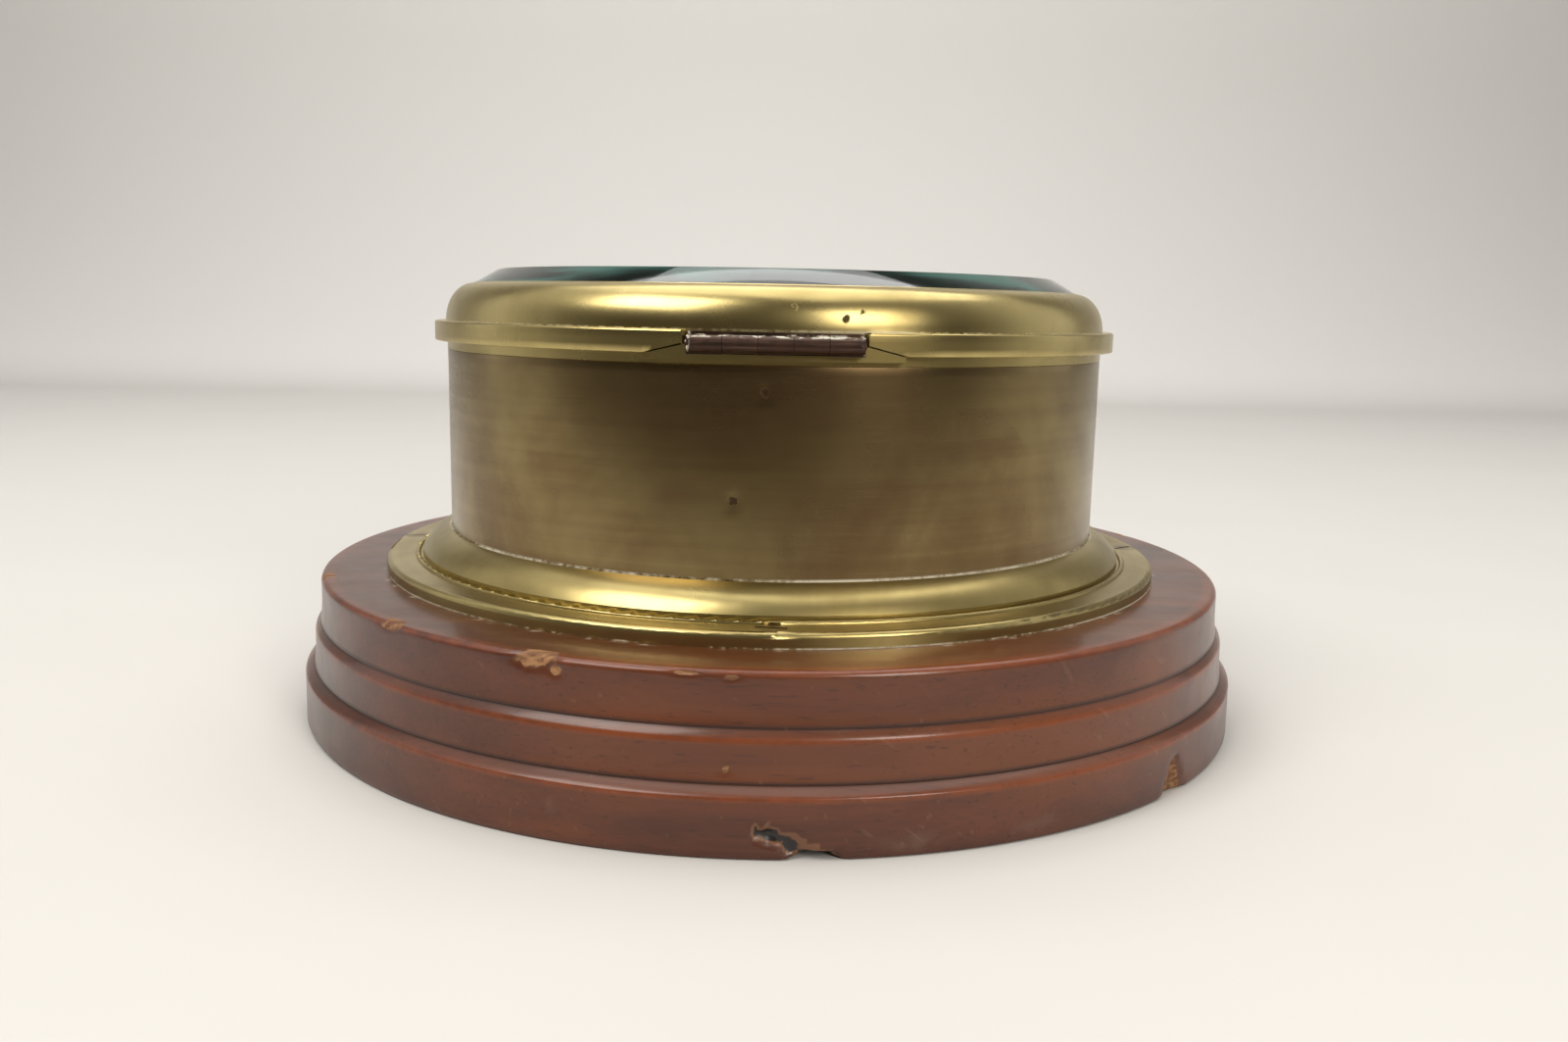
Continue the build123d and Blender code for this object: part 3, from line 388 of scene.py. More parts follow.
def hinge_bronze(props):
    """Dark bronze with crumbs of dried polish along the barrel's upper edge and at its ends."""
    g = Graph("hinge_bronze")
    place = g.place()
    x, z = g.split(place, "XZ")
    grime = g.noise(place, 420.0, 4.0, 0.62)
    length_marks = g.noise(g.stretched(place, (0.05, 1.0, 1.0)), 1600.0, 3.0)
    body = g.mix(grime.step(0.38, 0.68), (0.055, 0.034, 0.026), props.bronze)
    body = g.mix(length_marks.step(0.52, 0.72) * 0.4, body, (0.20, 0.13, 0.095))
    middle = (hinge_box[0].z + hinge_box[1].z) / 2
    crumbs = g.noise(g.stretched(place, (0.45, 1.0, 1.0)), 520.0, 3.0, 0.6)
    top = z.near(middle + 2.0 * MM, 0.55 * MM) * crumbs.step(0.50, 0.57)
    ends = abs(x).step(18.0 * MM, 18.9 * MM) * g.noise(place, 900.0, 2.0).step(0.52, 0.60)
    chalk = top.math("MAXIMUM", top, ends)
    body = g.mix(chalk * 0.9, body, props.residue)
    rough = grime * 0.25 + 0.28 + chalk * 0.3
    normal = g.bump(length_marks * 0.4 + chalk * 1.2 + grime * 0.5, 0.03 * MM, 0.8)
    return g.surface(Base_Color=body, Roughness=rough, Metallic=0.85 - chalk * 0.85, Normal=normal)


def plate_glass(name, tint, rim_tint, rim_radius, dust):
    """Clear glass, greener past a radius where it is seen edge-on, with faint smears and specks of dust, and past
    that radius an opaque layer of dark and light teal streaks: painted shade and painted reflection for what is seen
    through the bevel.
    """
    g = Graph(name)
    place = g.place()
    x, y = g.split(place, "XY")
    rim = ((x * x + y * y) ** 0.5).step(rim_radius - 1.5 * MM, rim_radius + 1.0 * MM)
    film = g.noise(place, 45.0, 4.0, 0.6, 1.2)
    specks = g.noise(place, 1400.0, 2.0).step(0.72, 0.78)
    rough = film.step(0.55, 0.90) * dust + 0.004 + specks * 0.06
    body = g.mix(rim, tint, rim_tint)
    body = g.mix(specks * 0.2, body, (0.75, 0.75, 0.70))
    normal = g.bump(g.noise(place, 12.0, 1.0), 0.02 * MM, 0.3)
    clear = g.principled(Base_Color=body, Roughness=rough, Normal=normal, Transmission_Weight=1.0, IOR=1.52)
    # the green of the glass seen the long way through the bevel, with opaque dark and light teal streaks as painted
    # shade and painted reflection
    painted_streaks = g.noise(g.stretched(place, (1.0, 1.0, 9.0)), 26.0, 2.0, 0.5, 0.6).step(0.38, 0.66)
    painted_streak_colour = g.mix(painted_streaks, (0.006, 0.050, 0.045), (0.075, 0.33, 0.27))
    painted_streak_layer = g.principled(Base_Color=painted_streak_colour, Roughness=rough + 0.08, Normal=normal)
    return g.finished(g.node("ShaderNodeMixShader", None, {0: rim * (painted_streaks * 0.22 + 0.10), 1: clear, 2: painted_streak_layer}))


def plain_solid(name, dark, light, scale, rough, metallic=0.0, depth=0.03 * MM):
    """A finish of two close colours clouded together, with a matching grain in its surface."""
    g = Graph(name)
    place = g.place()
    cloud = g.noise(place, scale, 4.0, 0.6)
    grain = g.noise(place, scale * 9.0, 3.0, 0.6)
    body = g.mix((cloud * 0.7 + grain * 0.3).step(0.35, 0.65), dark, light)
    normal = g.bump(grain, depth, 0.6)
    return g.surface(Base_Color=body, Roughness=cloud * 0.15 + rough, Metallic=metallic, Normal=normal)


def card_enamel(props):
    """Aged enamel: yellower towards the rim, foxed in small spots, with a slight orange-peel gloss."""
    g = Graph("card_enamel")
    place = g.place()
    x, y = g.split(place, "XY")
    radius = (x * x + y * y) ** 0.5
    cloud = g.noise(place, 60.0, 4.0, 0.6)
    body = g.mix((radius * 14.0 + cloud - 0.9).step(0.0, 0.9) * 0.7, props.card_colour, (0.56, 0.47, 0.29))
    foxing = g.noise(place, 420.0, 3.0).step(0.66, 0.74)
    body = g.mix(foxing * 0.45, body, (0.30, 0.19, 0.09))
    normal = g.bump(g.noise(place, 900.0, 2.0), 0.01 * MM, 0.5)
    return g.surface(Base_Color=body, Roughness=cloud * 0.2 + 0.35, Normal=normal)


# ------------------------------------------------------------------- mesh work
def grid_mesh(name, points, material, body, replaces=(), wrap_rows=False, attributes=None, sharp=38.0):
    """A surface on a grid of points: columns (first axis) go round the axis and close, rows go along a profile.

    Each quad joins neighbouring columns and rows; doubled points at poles are merged.
    """
    columns, rows = points.shape[:2]
    index = np.arange(columns * rows).reshape(columns, rows)
    right = np.roll(index, -1, axis=0)
    if wrap_rows:
        up, right_up = np.roll(index, -1, axis=1), np.roll(right, -1, axis=1)
    else:
        up, right_up = index[:, 1:], right[:, 1:]
        index, right = index[:, :-1], right[:, :-1]
    quads = np.stack([index, right, right_up, up], axis=-1).reshape(-1, 4)
    mesh = bpy.data.meshes.new(name)
    mesh.from_pydata(points.reshape(-1, 3), [], quads)
    for key, values in (attributes or {}).items():
        made = mesh.attributes.new(key, "FLOAT", "POINT")
        made.data.foreach_set("value", np.broadcast_to(values, (columns, rows)).astype(np.float32).ravel())
    return add_piece(name, mesh, material, body, replaces, sharp)


def add_piece(name, mesh, material, body, replaces=(), sharp=38.0):
    """Merges doubled points, shades the mesh smooth but for its sharp edges, and hangs it on its body."""
    import bmesh

    work = bmesh.new()
    work.from_mesh(mesh)
    bmesh.ops.remove_doubles(work, verts=work.verts, dist=1e-7)
    work.to_mesh(mesh)
    work.free()
    mesh.shade_smooth()
    mesh.set_sharp_from_angle(angle=radians(sharp))
    mesh.materials.append(material)
    piece = bpy.data.objects.new(name, mesh)
    bpy.context.scene.collection.objects.link(piece)
    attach(piece, body)
    if replaces:
        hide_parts(*replaces)
    return piece


def rounded_path(corners, radii, steps=6):
    """A closed outline whose corners are arcs: each arc is the quadratic curve between its two tangent points."""
    corners = np.asarray(corners, float)
    before, after = np.roll(corners, 1, axis=0), np.roll(corners, -1, axis=0)
    reach = np.asarray(radii, float)[:, None]
    into = before - corners
    out = after - corners
    start = corners + into / np.linalg.norm(into, axis=1, keepdims=True) * reach
    end = corners + out / np.linalg.norm(out, axis=1, keepdims=True) * reach
    t = np.linspace(0.0, 1.0, steps)[None, :, None]
    arcs = (1 - t) ** 2 * start[:, None] + 2 * t * (1 - t) * corners[:, None] + t**2 * end[:, None]
    flat = arcs.reshape(-1, 2)
    keep = np.linalg.norm(flat - np.roll(flat, 1, axis=0), axis=1) > 1e-7
    return flat[keep]


def refined(path, step, closed=True):
    """The same outline, divided so that no two points are further apart than the step, or each run's own step."""
    ends = np.roll(path, -1, axis=0) if closed else path[1:]
    starts = path if closed else path[:-1]
    counts = np.maximum(1, np.ceil(np.linalg.norm(ends - starts, axis=1) / step)).astype(int)
    parts = [
        start + (end - start) * np.linspace(0, 1, count, False)[:, None]
        for start, end, count in zip(starts, ends, counts)
    ]
    if not closed:
        parts.append(path[-1:])
    return np.concatenate(parts)


def revolved(profile, turns):
    """Each profile point (radius, height) at each angle: (radius cos a, radius sin a, height)."""
    angles = np.asarray(turns)[:, None]
    radius, height = profile[:, 0][None, :], profile[:, 1][None, :]
    return np.stack([radius * np.cos(angles), radius * np.sin(angles), height + 0 * angles], axis=-1)


def even_turns(count):
    """Angles in equal steps round one turn."""
    return np.arange(count) * tau / count


def ripple(points, scale, seed):
    """A smooth made-up unevenness from -1 to 1: the mean of twelve sine waves in random directions."""
    random = np.random.default_rng(seed)
    waves = random.normal(0, scale, (12, 3))
    shifts = random.uniform(0, tau, 12)
    return np.sin(points @ waves.T + shifts).mean(axis=-1) * 2.0


# ----------------------------------------------------------------------- pieces
def base_profile(p):
    """The turned outline of the base, counter-clockwise: three walls, each spreading at its foot by a cove of the
    flare times (1 - t) cubed, then a convex shoulder out to the next wall."""
    top = foot_box[1].z
    pocket_radius = drum_box[1].x + 0.2 * MM
    pocket_floor = drum_box[0].z
    waist_z = p.foot_height
    deck_z = p.foot_height + p.waist_height
    quarter = np.linspace(0, pi / 2, 10)[:, None]
    t = np.linspace(0, 1, 12)[:, None]

    def shoulder(outer, inner, height):
        """Rounded at its arris, then nearly straight up to the line under the next wall."""
        arris, step = 0.45 * MM, outer - inner
        slope = height - p.shoulder + (p.shoulder - p.quirk) * t
        return np.hstack([outer - step * t**1.25 - arris * (1 - t) ** 6 * 0.25, slope])

    def wall(radius, low, high):
        """One tier's wall: it spreads at its foot by the flare times the cube of the way down."""
        return np.hstack([radius + p.flare * (1 - t) ** 3, low + (high - low) * t])

    rim = p.foot_radius
    foot = np.array([[rim - 1.0 * MM, 0.0], [rim - 0.3 * MM, 0.3 * MM], [rim, 1.0 * MM]])
    edge = 1.5 * MM
    rim = np.hstack([p.deck_radius - edge + edge * np.cos(quarter), top - edge + edge * np.sin(quarter)])
    waist_foot = p.waist_radius + p.flare
    deck_foot = p.deck_radius + p.flare
    return np.vstack([
        [[1e-6, 0.0]],
        foot,
        shoulder(p.foot_radius, waist_foot - p.quirk, waist_z),
        [[waist_foot - p.quirk, waist_z - 0.05 * MM]],
        wall(p.waist_radius, waist_z + 0.1 * MM, deck_z - p.shoulder - 0.4 * MM),
        shoulder(p.waist_radius, deck_foot - p.quirk, deck_z),
        [[deck_foot - p.quirk, deck_z - 0.05 * MM]],
        wall(p.deck_radius, deck_z + 0.1 * MM, top - 2.2 * MM),
        rim,
        [[pocket_radius, top], [pocket_radius, pocket_floor], [1e-6, pocket_floor]],
    ])


# chips: angle round the base in degrees; height, width, height of the mark and depth in millimetres; 1 for a wedge
CHIPS = (
    (246.8, 36.6, 11.0, 2.4, 0.9, 0),
    (249.2, 34.8, 4.0, 1.4, 0.6, 0),
    (226.5, 37.2, 9.0, 1.4, 0.5, 0),
    (262.5, 36.6, 7.0, 0.5, 0.3, 0),
    (266.5, 36.2, 3.0, 0.5, 0.3, 0),
    (316.4, 0.0, 11.0, 9.8, 1.5, 1),
    (266.1, 17.8, 1.7, 0.8, 0.3, 0),
    (200.0, 36.8, 6.0, 1.4, 0.6, 0),
    (120.0, 25.5, 5.0, 1.5, 0.6, 0),
    (72.0, 13.6, 8.0, 1.6, 0.7, 0),
    (20.0, 37.0, 4.0, 1.3, 0.5, 0),
)
BRUISES = ((283.0, 3.2, 15.0, 2.2), (296.0, 3.6, 11.0, 1.6), (250.0, 8.0, 3.0, 2.0))


class COMPASS_OT_base(bpy.types.Operator):
    """Turned mahogany base with rounded shoulders, quirks, chips and a gouge"""

    bl_idname = "compass.base"
    bl_label = "Turned base"

    def execute(self, context):
        p = context.scene.compass_base
        profile = base_profile(p)
        profile = refined(profile, np.where(profile[:, 0] > drum_box[1].x + 8 * MM, 1.2 * MM, 14 * MM))
        turns = even_turns(640)
        points = revolved(profile, turns)
        radius, height = profile[:, 0][None, :], profile[:, 1][None, :]
        outer = radius > drum_box[1].x + 5 * MM
        skin = radius > p.deck_radius - 3.5 * MM
        degrees_round = np.degrees(turns)[:, None]
        chip = np.zeros(points.shape[:2])
        push = np.zeros(points.shape[:2])
        rough = ripple(points * 1000, 0.9, 3)

        def spot(angle, level, wide, tall, wedge=0):
            """1 in the middle of a mark, falling to 0 past its ragged border; a wedge stands on its base."""
            up = (height - level * MM) / (tall * MM)
            narrow = np.clip(1 - up, 0.05, 1) if wedge else 1.0
            across = np.radians(degrees_round - angle) * radius / (wide * MM / 2) / narrow
            return np.clip(1.25 - np.hypot(across, up * (1 - wedge)) + 0.30 * rough, 0, 1) * skin * (up < 1)

        for angle, level, wide, tall, depth, wedge in CHIPS:
            mark = spot(angle, level, wide, tall, wedge)
            chip = np.maximum(chip, mark)
            push = np.maximum(push, mark * depth * MM)
        bruise = np.zeros(points.shape[:2])
        for angle, level, wide, tall in BRUISES:
            bruise = np.maximum(bruise, spot(angle, level, wide, tall))
        # the gouge: a hole whose core is painted near black as shade, a torn splinter slanting down from it and a
        # notch in the lower edge
        along = (degrees_round - 269.2) / 6.8
        line = (7.4 - 7.4 * along) * MM
        below = (line - height) / (2.2 * MM)
        hole = np.clip(1.35 - np.hypot(below - 0.55, (along - 0.24) / 0.36) + 0.45 * rough, 0, 1)
        torn = np.clip(1.2 - np.abs(below + 0.25) * 1.6 + 0.4 * rough, 0, 0.45) * (along > 0.1) * (along < 1.0)
        lower_edge = (height < 1.3 * MM) * (radius > p.foot_radius - 4 * MM)
        notch = np.clip(1.5 - np.abs(along - 0.74) / 0.26, 0, 1) * lower_edge
        gouge = np.maximum(hole, torn) * (radius > p.waist_radius + 1.6 * MM)
        gouge = np.maximum(gouge, notch)
        push = np.maximum(push, np.maximum(hole * 1.5 * MM, notch * 2.4 * MM) * (radius > p.waist_radius))
        uneven = (ripple(points * 1000, 0.035, 11) - 1.0) * 0.05 * MM
        shrink = (push - uneven * outer) / np.maximum(radius, 1 * MM)
        points[..., :2] *= (1 - shrink)[..., None]
        points[..., 2] += notch * 0.9 * MM * (height < 1.3 * MM)
        deck_z = p.foot_height + p.waist_height
        # edge marks the arrises, where the wood is painted brighter orange: partly worn varnish, partly a painted
        # highlight
        edge = np.zeros_like(height)
        arrises = ((p.foot_height - p.shoulder, 1.0), (deck_z - p.shoulder, 1.0), (foot_box[1].z - 0.4 * MM, 1.0))
        for level, span in arrises:
            edge = np.maximum(edge, np.clip(1 - np.abs(height - level) / (span * MM), 0, 1) * skin)
        # the concave corners above the shoulders, darkened in the wood's colour as painted shade
        painted_crease_shade = np.zeros_like(height)
        for level in (p.foot_height, deck_z):
            painted_crease_shade = np.maximum(painted_crease_shade, np.clip(1.3 - np.abs(height - level) / (0.55 * MM), 0, 1) * outer)
        painted_crease_shade = painted_crease_shade * (radius > p.deck_radius - 1.2 * MM)
        grid_mesh(
            "turned_base", points, mahogany(p), "case", ["wood_base"], True,
            {"chip": chip, "gouge": gouge, "edge": edge, "painted_crease_shade": painted_crease_shade, "bruise": bruise},
        )
        return {"FINISHED"}


class COMPASS_OT_drum(bpy.types.Operator):
    """Brown brushed drum, very slightly out of true, with two corrosion pits"""

    bl_idname = "compass.drum"
    bl_label = "Drum"

    def execute(self, context):
        low, high = drum_box
        wall = 2.0 * MM
        radius = high.x
        corners = [(radius - wall, low.z), (radius, low.z), (radius, high.z), (radius - wall, high.z)]
        profile = refined(rounded_path(corners, [0.1 * MM, 0.2 * MM, 0.25 * MM, 0.2 * MM], 4), 2.0 * MM)
        points = revolved(profile, even_turns(480))
        outer = profile[:, 0] > radius - 0.5 * wall
        uneven = (ripple(points * 1000, 0.045, 21) - 1.0) * 0.05 * MM * outer
        pits = [drum_point(268.6, 90.0), drum_point(264.4, 66.1)]
        for pit in pits:
            far = np.linalg.norm(points - np.array(pit), axis=-1)
            uneven = uneven - np.clip(1 - far / (1.6 * MM), 0, 1) * 0.25 * MM * outer
        points[..., :2] *= (1 + uneven / np.maximum(profile[:, 0], 1e-3))[..., None]
        brass_props = context.scene.compass_brass
        material = brass(
            "drum_patina", brass_props.patina_light, brass_props.patina, 0.05, 0.21, brass_props,
            seams=[(radius, flange_box[1].z, 0.7 * MM)], pits=pits, polish=0.35,
        )
        grid_mesh("drum_wall", points, material, "case", ["case_drum"], True)
        return {"FINISHED"}


def drum_point(angle, height_mm):
    """A point on the drum's outer face, by its angle in degrees and its height in millimetres."""
    radius = drum_box[1].x
    return (radius * cos(radians(angle)), radius * sin(radians(angle)), height_mm * MM)


# corrosion pits on the dome, in millimetres
LID_PITS = ((4.1, -88.4, 108.4), (18.6, -87.0, 107.3), (15.0, -88.4, 106.3), (65.6, -58.5, 112.0))


class COMPASS_OT_lid(bpy.types.Operator):
    """Domed brass lid with its band notched for the hinge, and the bevelled glass"""

    bl_idname = "compass.lid"
    bl_label = "Lid and glass"

    def execute(self, context):
        p = context.scene.compass_lid
        brass_props = context.scene.compass_brass
        seat = lid_box[0].z
        band_radius = lid_box[1].x
        band_top = seat + p.band_height
        dome_top = lid_box[1].z
        glass_radius = glass_box[1].x
        glass_top = glass_box[1].z
        slope = p.bevel_height / p.bevel_width
        quarter = np.linspace(0, pi / 2, 26)[:, None]
        width = p.dome_foot_radius - p.lip_radius
        rise = dome_top - band_top
        dome = np.hstack([p.lip_radius + width * np.cos(quarter), band_top + rise * np.sin(quarter)])
        bead = p.band_bead
        turn = quarter[::4]
        bead_arc = np.hstack([band_radius - bead + bead * np.cos(turn), band_top - bead + bead * np.sin(turn)])
        bevel_at = lambda radius: glass_top - (radius - glass_radius + p.bevel_width) * slope + 0.15 * MM
        gasket_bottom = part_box("glass_gasket")[0].z
        thread_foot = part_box("glass_retaining_ring")[0].z - 0.5 * MM
        profile = np.vstack([
            [[p.bore_radius, seat], [band_radius - 0.3 * MM, seat], [band_radius - 0.08 * MM, seat + 0.08 * MM]],
            [[band_radius, seat + 0.3 * MM]],
            bead_arc,
            [[p.dome_foot_radius + 0.35 * MM, band_top], [p.dome_foot_radius + 0.05 * MM, band_top + 0.05 * MM]],
            dome[1:],
            [[p.lip_radius, bevel_at(p.lip_radius)], [p.glass_bore, bevel_at(p.glass_bore)]],
            [[p.glass_bore, gasket_bottom], [p.thread_radius, gasket_bottom], [p.thread_radius, thread_foot]],
            [[p.bore_radius, seat + 3.3 * MM]],
        ])
        profile = refined(profile, 1.5 * MM)
        # extra columns stand either side of the notch's walls and corners
        pad_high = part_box("hinge_bezel_leaf")[1]
        pad_gap, notch_slope = 1.05 * MM, 9.0 * MM
        inner_half = pad_high.x + pad_gap
        outer_half = inner_half + notch_slope
        walls = np.arcsin(np.array([inner_half, inner_half + 0.02 * MM, outer_half]) / band_radius)
        turns = np.sort(np.concatenate([even_turns(540), 1.5 * pi + walls, 1.5 * pi - walls]))
        points = revolved(profile, turns)
        side = np.abs(points[..., 0])
        hinge_side = points[..., 1] < 0
        reach = np.hypot(points[..., 0], points[..., 1])
        on_band = (reach > p.dome_foot_radius) & (points[..., 2] < band_top + 0.06 * MM)
        cut = hinge_side & (side < inner_half + 0.01 * MM) & on_band
        points[..., :2] *= np.where(cut, p.dome_foot_radius / np.maximum(reach, 1e-6), 1.0)[..., None]
        # the slanting lower edge either side of the notch
        line = seat + 2.3 * MM * (outer_half - side) / (outer_half - inner_half)
        slanted = hinge_side & (side >= inner_half + 0.01 * MM) & (side < outer_half) & (reach > p.dome_foot_radius)
        points[..., 2] = np.where(slanted, np.maximum(points[..., 2], line), points[..., 2])
        uneven = ripple(points * 1000, 0.05, 31) * 0.035 * MM
        points[..., :2] *= (1 + uneven / 0.09)[..., None]
        material = brass(
            "lid_brass", brass_props.bright, brass_props.tarnish, 0.0, 0.25, brass_props, "turned",
            seams=[(p.dome_foot_radius + 0.3 * MM, band_top, 0.5 * MM)],
            pits=[Vector(pit) * MM for pit in LID_PITS],
        )
        grid_mesh("lid_ring", points, material, "lid", ["bezel_ring"], True)

        face = glass_radius - p.bevel_width
        glazing = plate_glass("lid_glass", p.glass_tint, p.edge_tint, face, 0.03)
        bevel_low = glass_top - p.bevel_height
        bottom = glass_box[0].z
        edge = [(glass_radius, bottom), (glass_radius, bevel_low), (face, glass_top)]
        corners = [(1e-6, bottom), *edge, (1e-6, glass_top)]
        outline = rounded_path(corners, [0, 0.3 * MM, 0.25 * MM, 0.35 * MM, 0], 5)
        outline = np.roll(outline, -int(np.argmax(outline[:, 0] < 1e-5)), axis=0)
        outline = np.vstack([[[0, bottom]], outline[outline[:, 0] > 1e-5], [[0, glass_top]]])
        glass = revolved(outline, even_turns(360))
        grid_mesh("lid_glass", glass, glazing, "lid", ["bezel_glass"], sharp=20.0)
        return {"FINISHED"}


class COMPASS_OT_metalwork(bpy.types.Operator):
    """Finishes for the flange, the rim, the hinge, the screws, the gimbal and the bowl"""

    bl_idname = "compass.metalwork"
    bl_label = "Metalwork"

    def execute(self, context):
        p = context.scene.compass_brass
        flange_top = flange_box[1].z
        flange = brass(
            "flange_brass", p.bright, p.tarnish, 0.02, 0.27, p, "turned",
            seams=[
                (drum_box[1].x + 0.2 * MM, flange_top, 0.6 * MM),
                (98.1 * MM, foot_box[1].z + 3.9 * MM, 0.35 * MM),
                (flange_box[1].x, flange_box[0].z, 0.5 * MM),
            ],
        )
        rim = brass("rim_brass", p.bright, p.tarnish, 0.02, 0.24, p)
        inner = brass("inner_brass", (0.56, 0.43, 0.19), p.tarnish, 0.02, 0.30, p, "turned")
        bright = brass("verge_brass", p.bright, p.tarnish, -0.06, 0.20, p, "turned")
        screws = brass("screw_brass", (0.60, 0.47, 0.22), (0.20, 0.14, 0.07), 0.08, 0.26, p, "turned")
        bronze = hinge_bronze(p)
        steel = plain_solid("blued_steel", (0.16, 0.17, 0.20), (0.32, 0.33, 0.36), 300.0, 0.30, 0.9)
        lead = plain_solid("lead", (0.14, 0.145, 0.155), (0.26, 0.27, 0.28), 90.0, 0.55, 0.6, 0.12 * MM)
        rubber = plain_solid("rubber", (0.010, 0.010, 0.010), (0.028, 0.027, 0.026), 200.0, 0.65)
        putty = plain_solid("green_putty", (0.016, 0.060, 0.050), (0.040, 0.115, 0.095), 120.0, 0.55)
        ruby = plain_solid("ruby", (0.30, 0.02, 0.03), (0.55, 0.05, 0.07), 500.0, 0.08)
        finishes = {
            flange: ("flange_ring",),
            rim: ("case_rim_ring", "lift_tab"),
            inner: ("case_floor", "gimbal_brackets", "gimbal_ring", "compass_bowl", "pivot_post", "lubber_line",
                    "glass_retaining_ring", "card_float", "card_cap"),
            bright: ("verge_ring",),
            screws: ("flange_screws", "floor_screws", "tab_screws", "ring_trunnions", "bowl_pivot_screws",
                     "verge_screws", "filler_plug", "keel_nut"),
            bronze: ("hinge_case_leaf", "hinge_bezel_leaf", "hinge_pin"),
            steel: ("pivot_point", "card_magnets"),
            lead: ("keel_weight",),
            rubber: ("bowl_gasket", "filler_washer"),
            putty: ("glass_gasket",),
            ruby: ("jewel",),
            plate_glass("bowl_glass", (0.96, 0.98, 0.97), (0.75, 0.88, 0.82), 65.0 * MM, 0.02): ("bowl_glass",),
        }
        for material, names in finishes.items():
            for name in names:
                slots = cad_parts[name].material_slots
                slots[0].material = material
        return {"FINISHED"}


def prism(outline, low, high):
    """Points and faces of a closed prism over a star-shaped outline of (x, y) points, counter-clockwise."""
    count = len(outline)
    bottom = np.column_stack([outline, np.full(count, low)])
    top = np.column_stack([outline, np.full(count, high)])
    ring = np.arange(count)
    after = np.roll(ring, -1)
    walls = np.stack([ring, after, after + count, ring + count], axis=1).tolist()
    return np.vstack([bottom, top]), walls + [ring[::-1].tolist(), (ring + count).tolist()]


def joined(parts):
    """One list of points and one of faces from several."""
    points, faces, start = [], [], 0
    for some_points, some_faces in parts:
        points.append(some_points)
        faces += [[start + i for i in face] for face in some_faces]
        start += len(some_points)
    return np.vstack(points), faces


def turned_round(outline, degrees_clockwise):
    """The outline turned clockwise about the card's centre."""
    a = -radians(degrees_clockwise)
    return outline @ np.array([[cos(a), sin(a)], [-sin(a), cos(a)]])


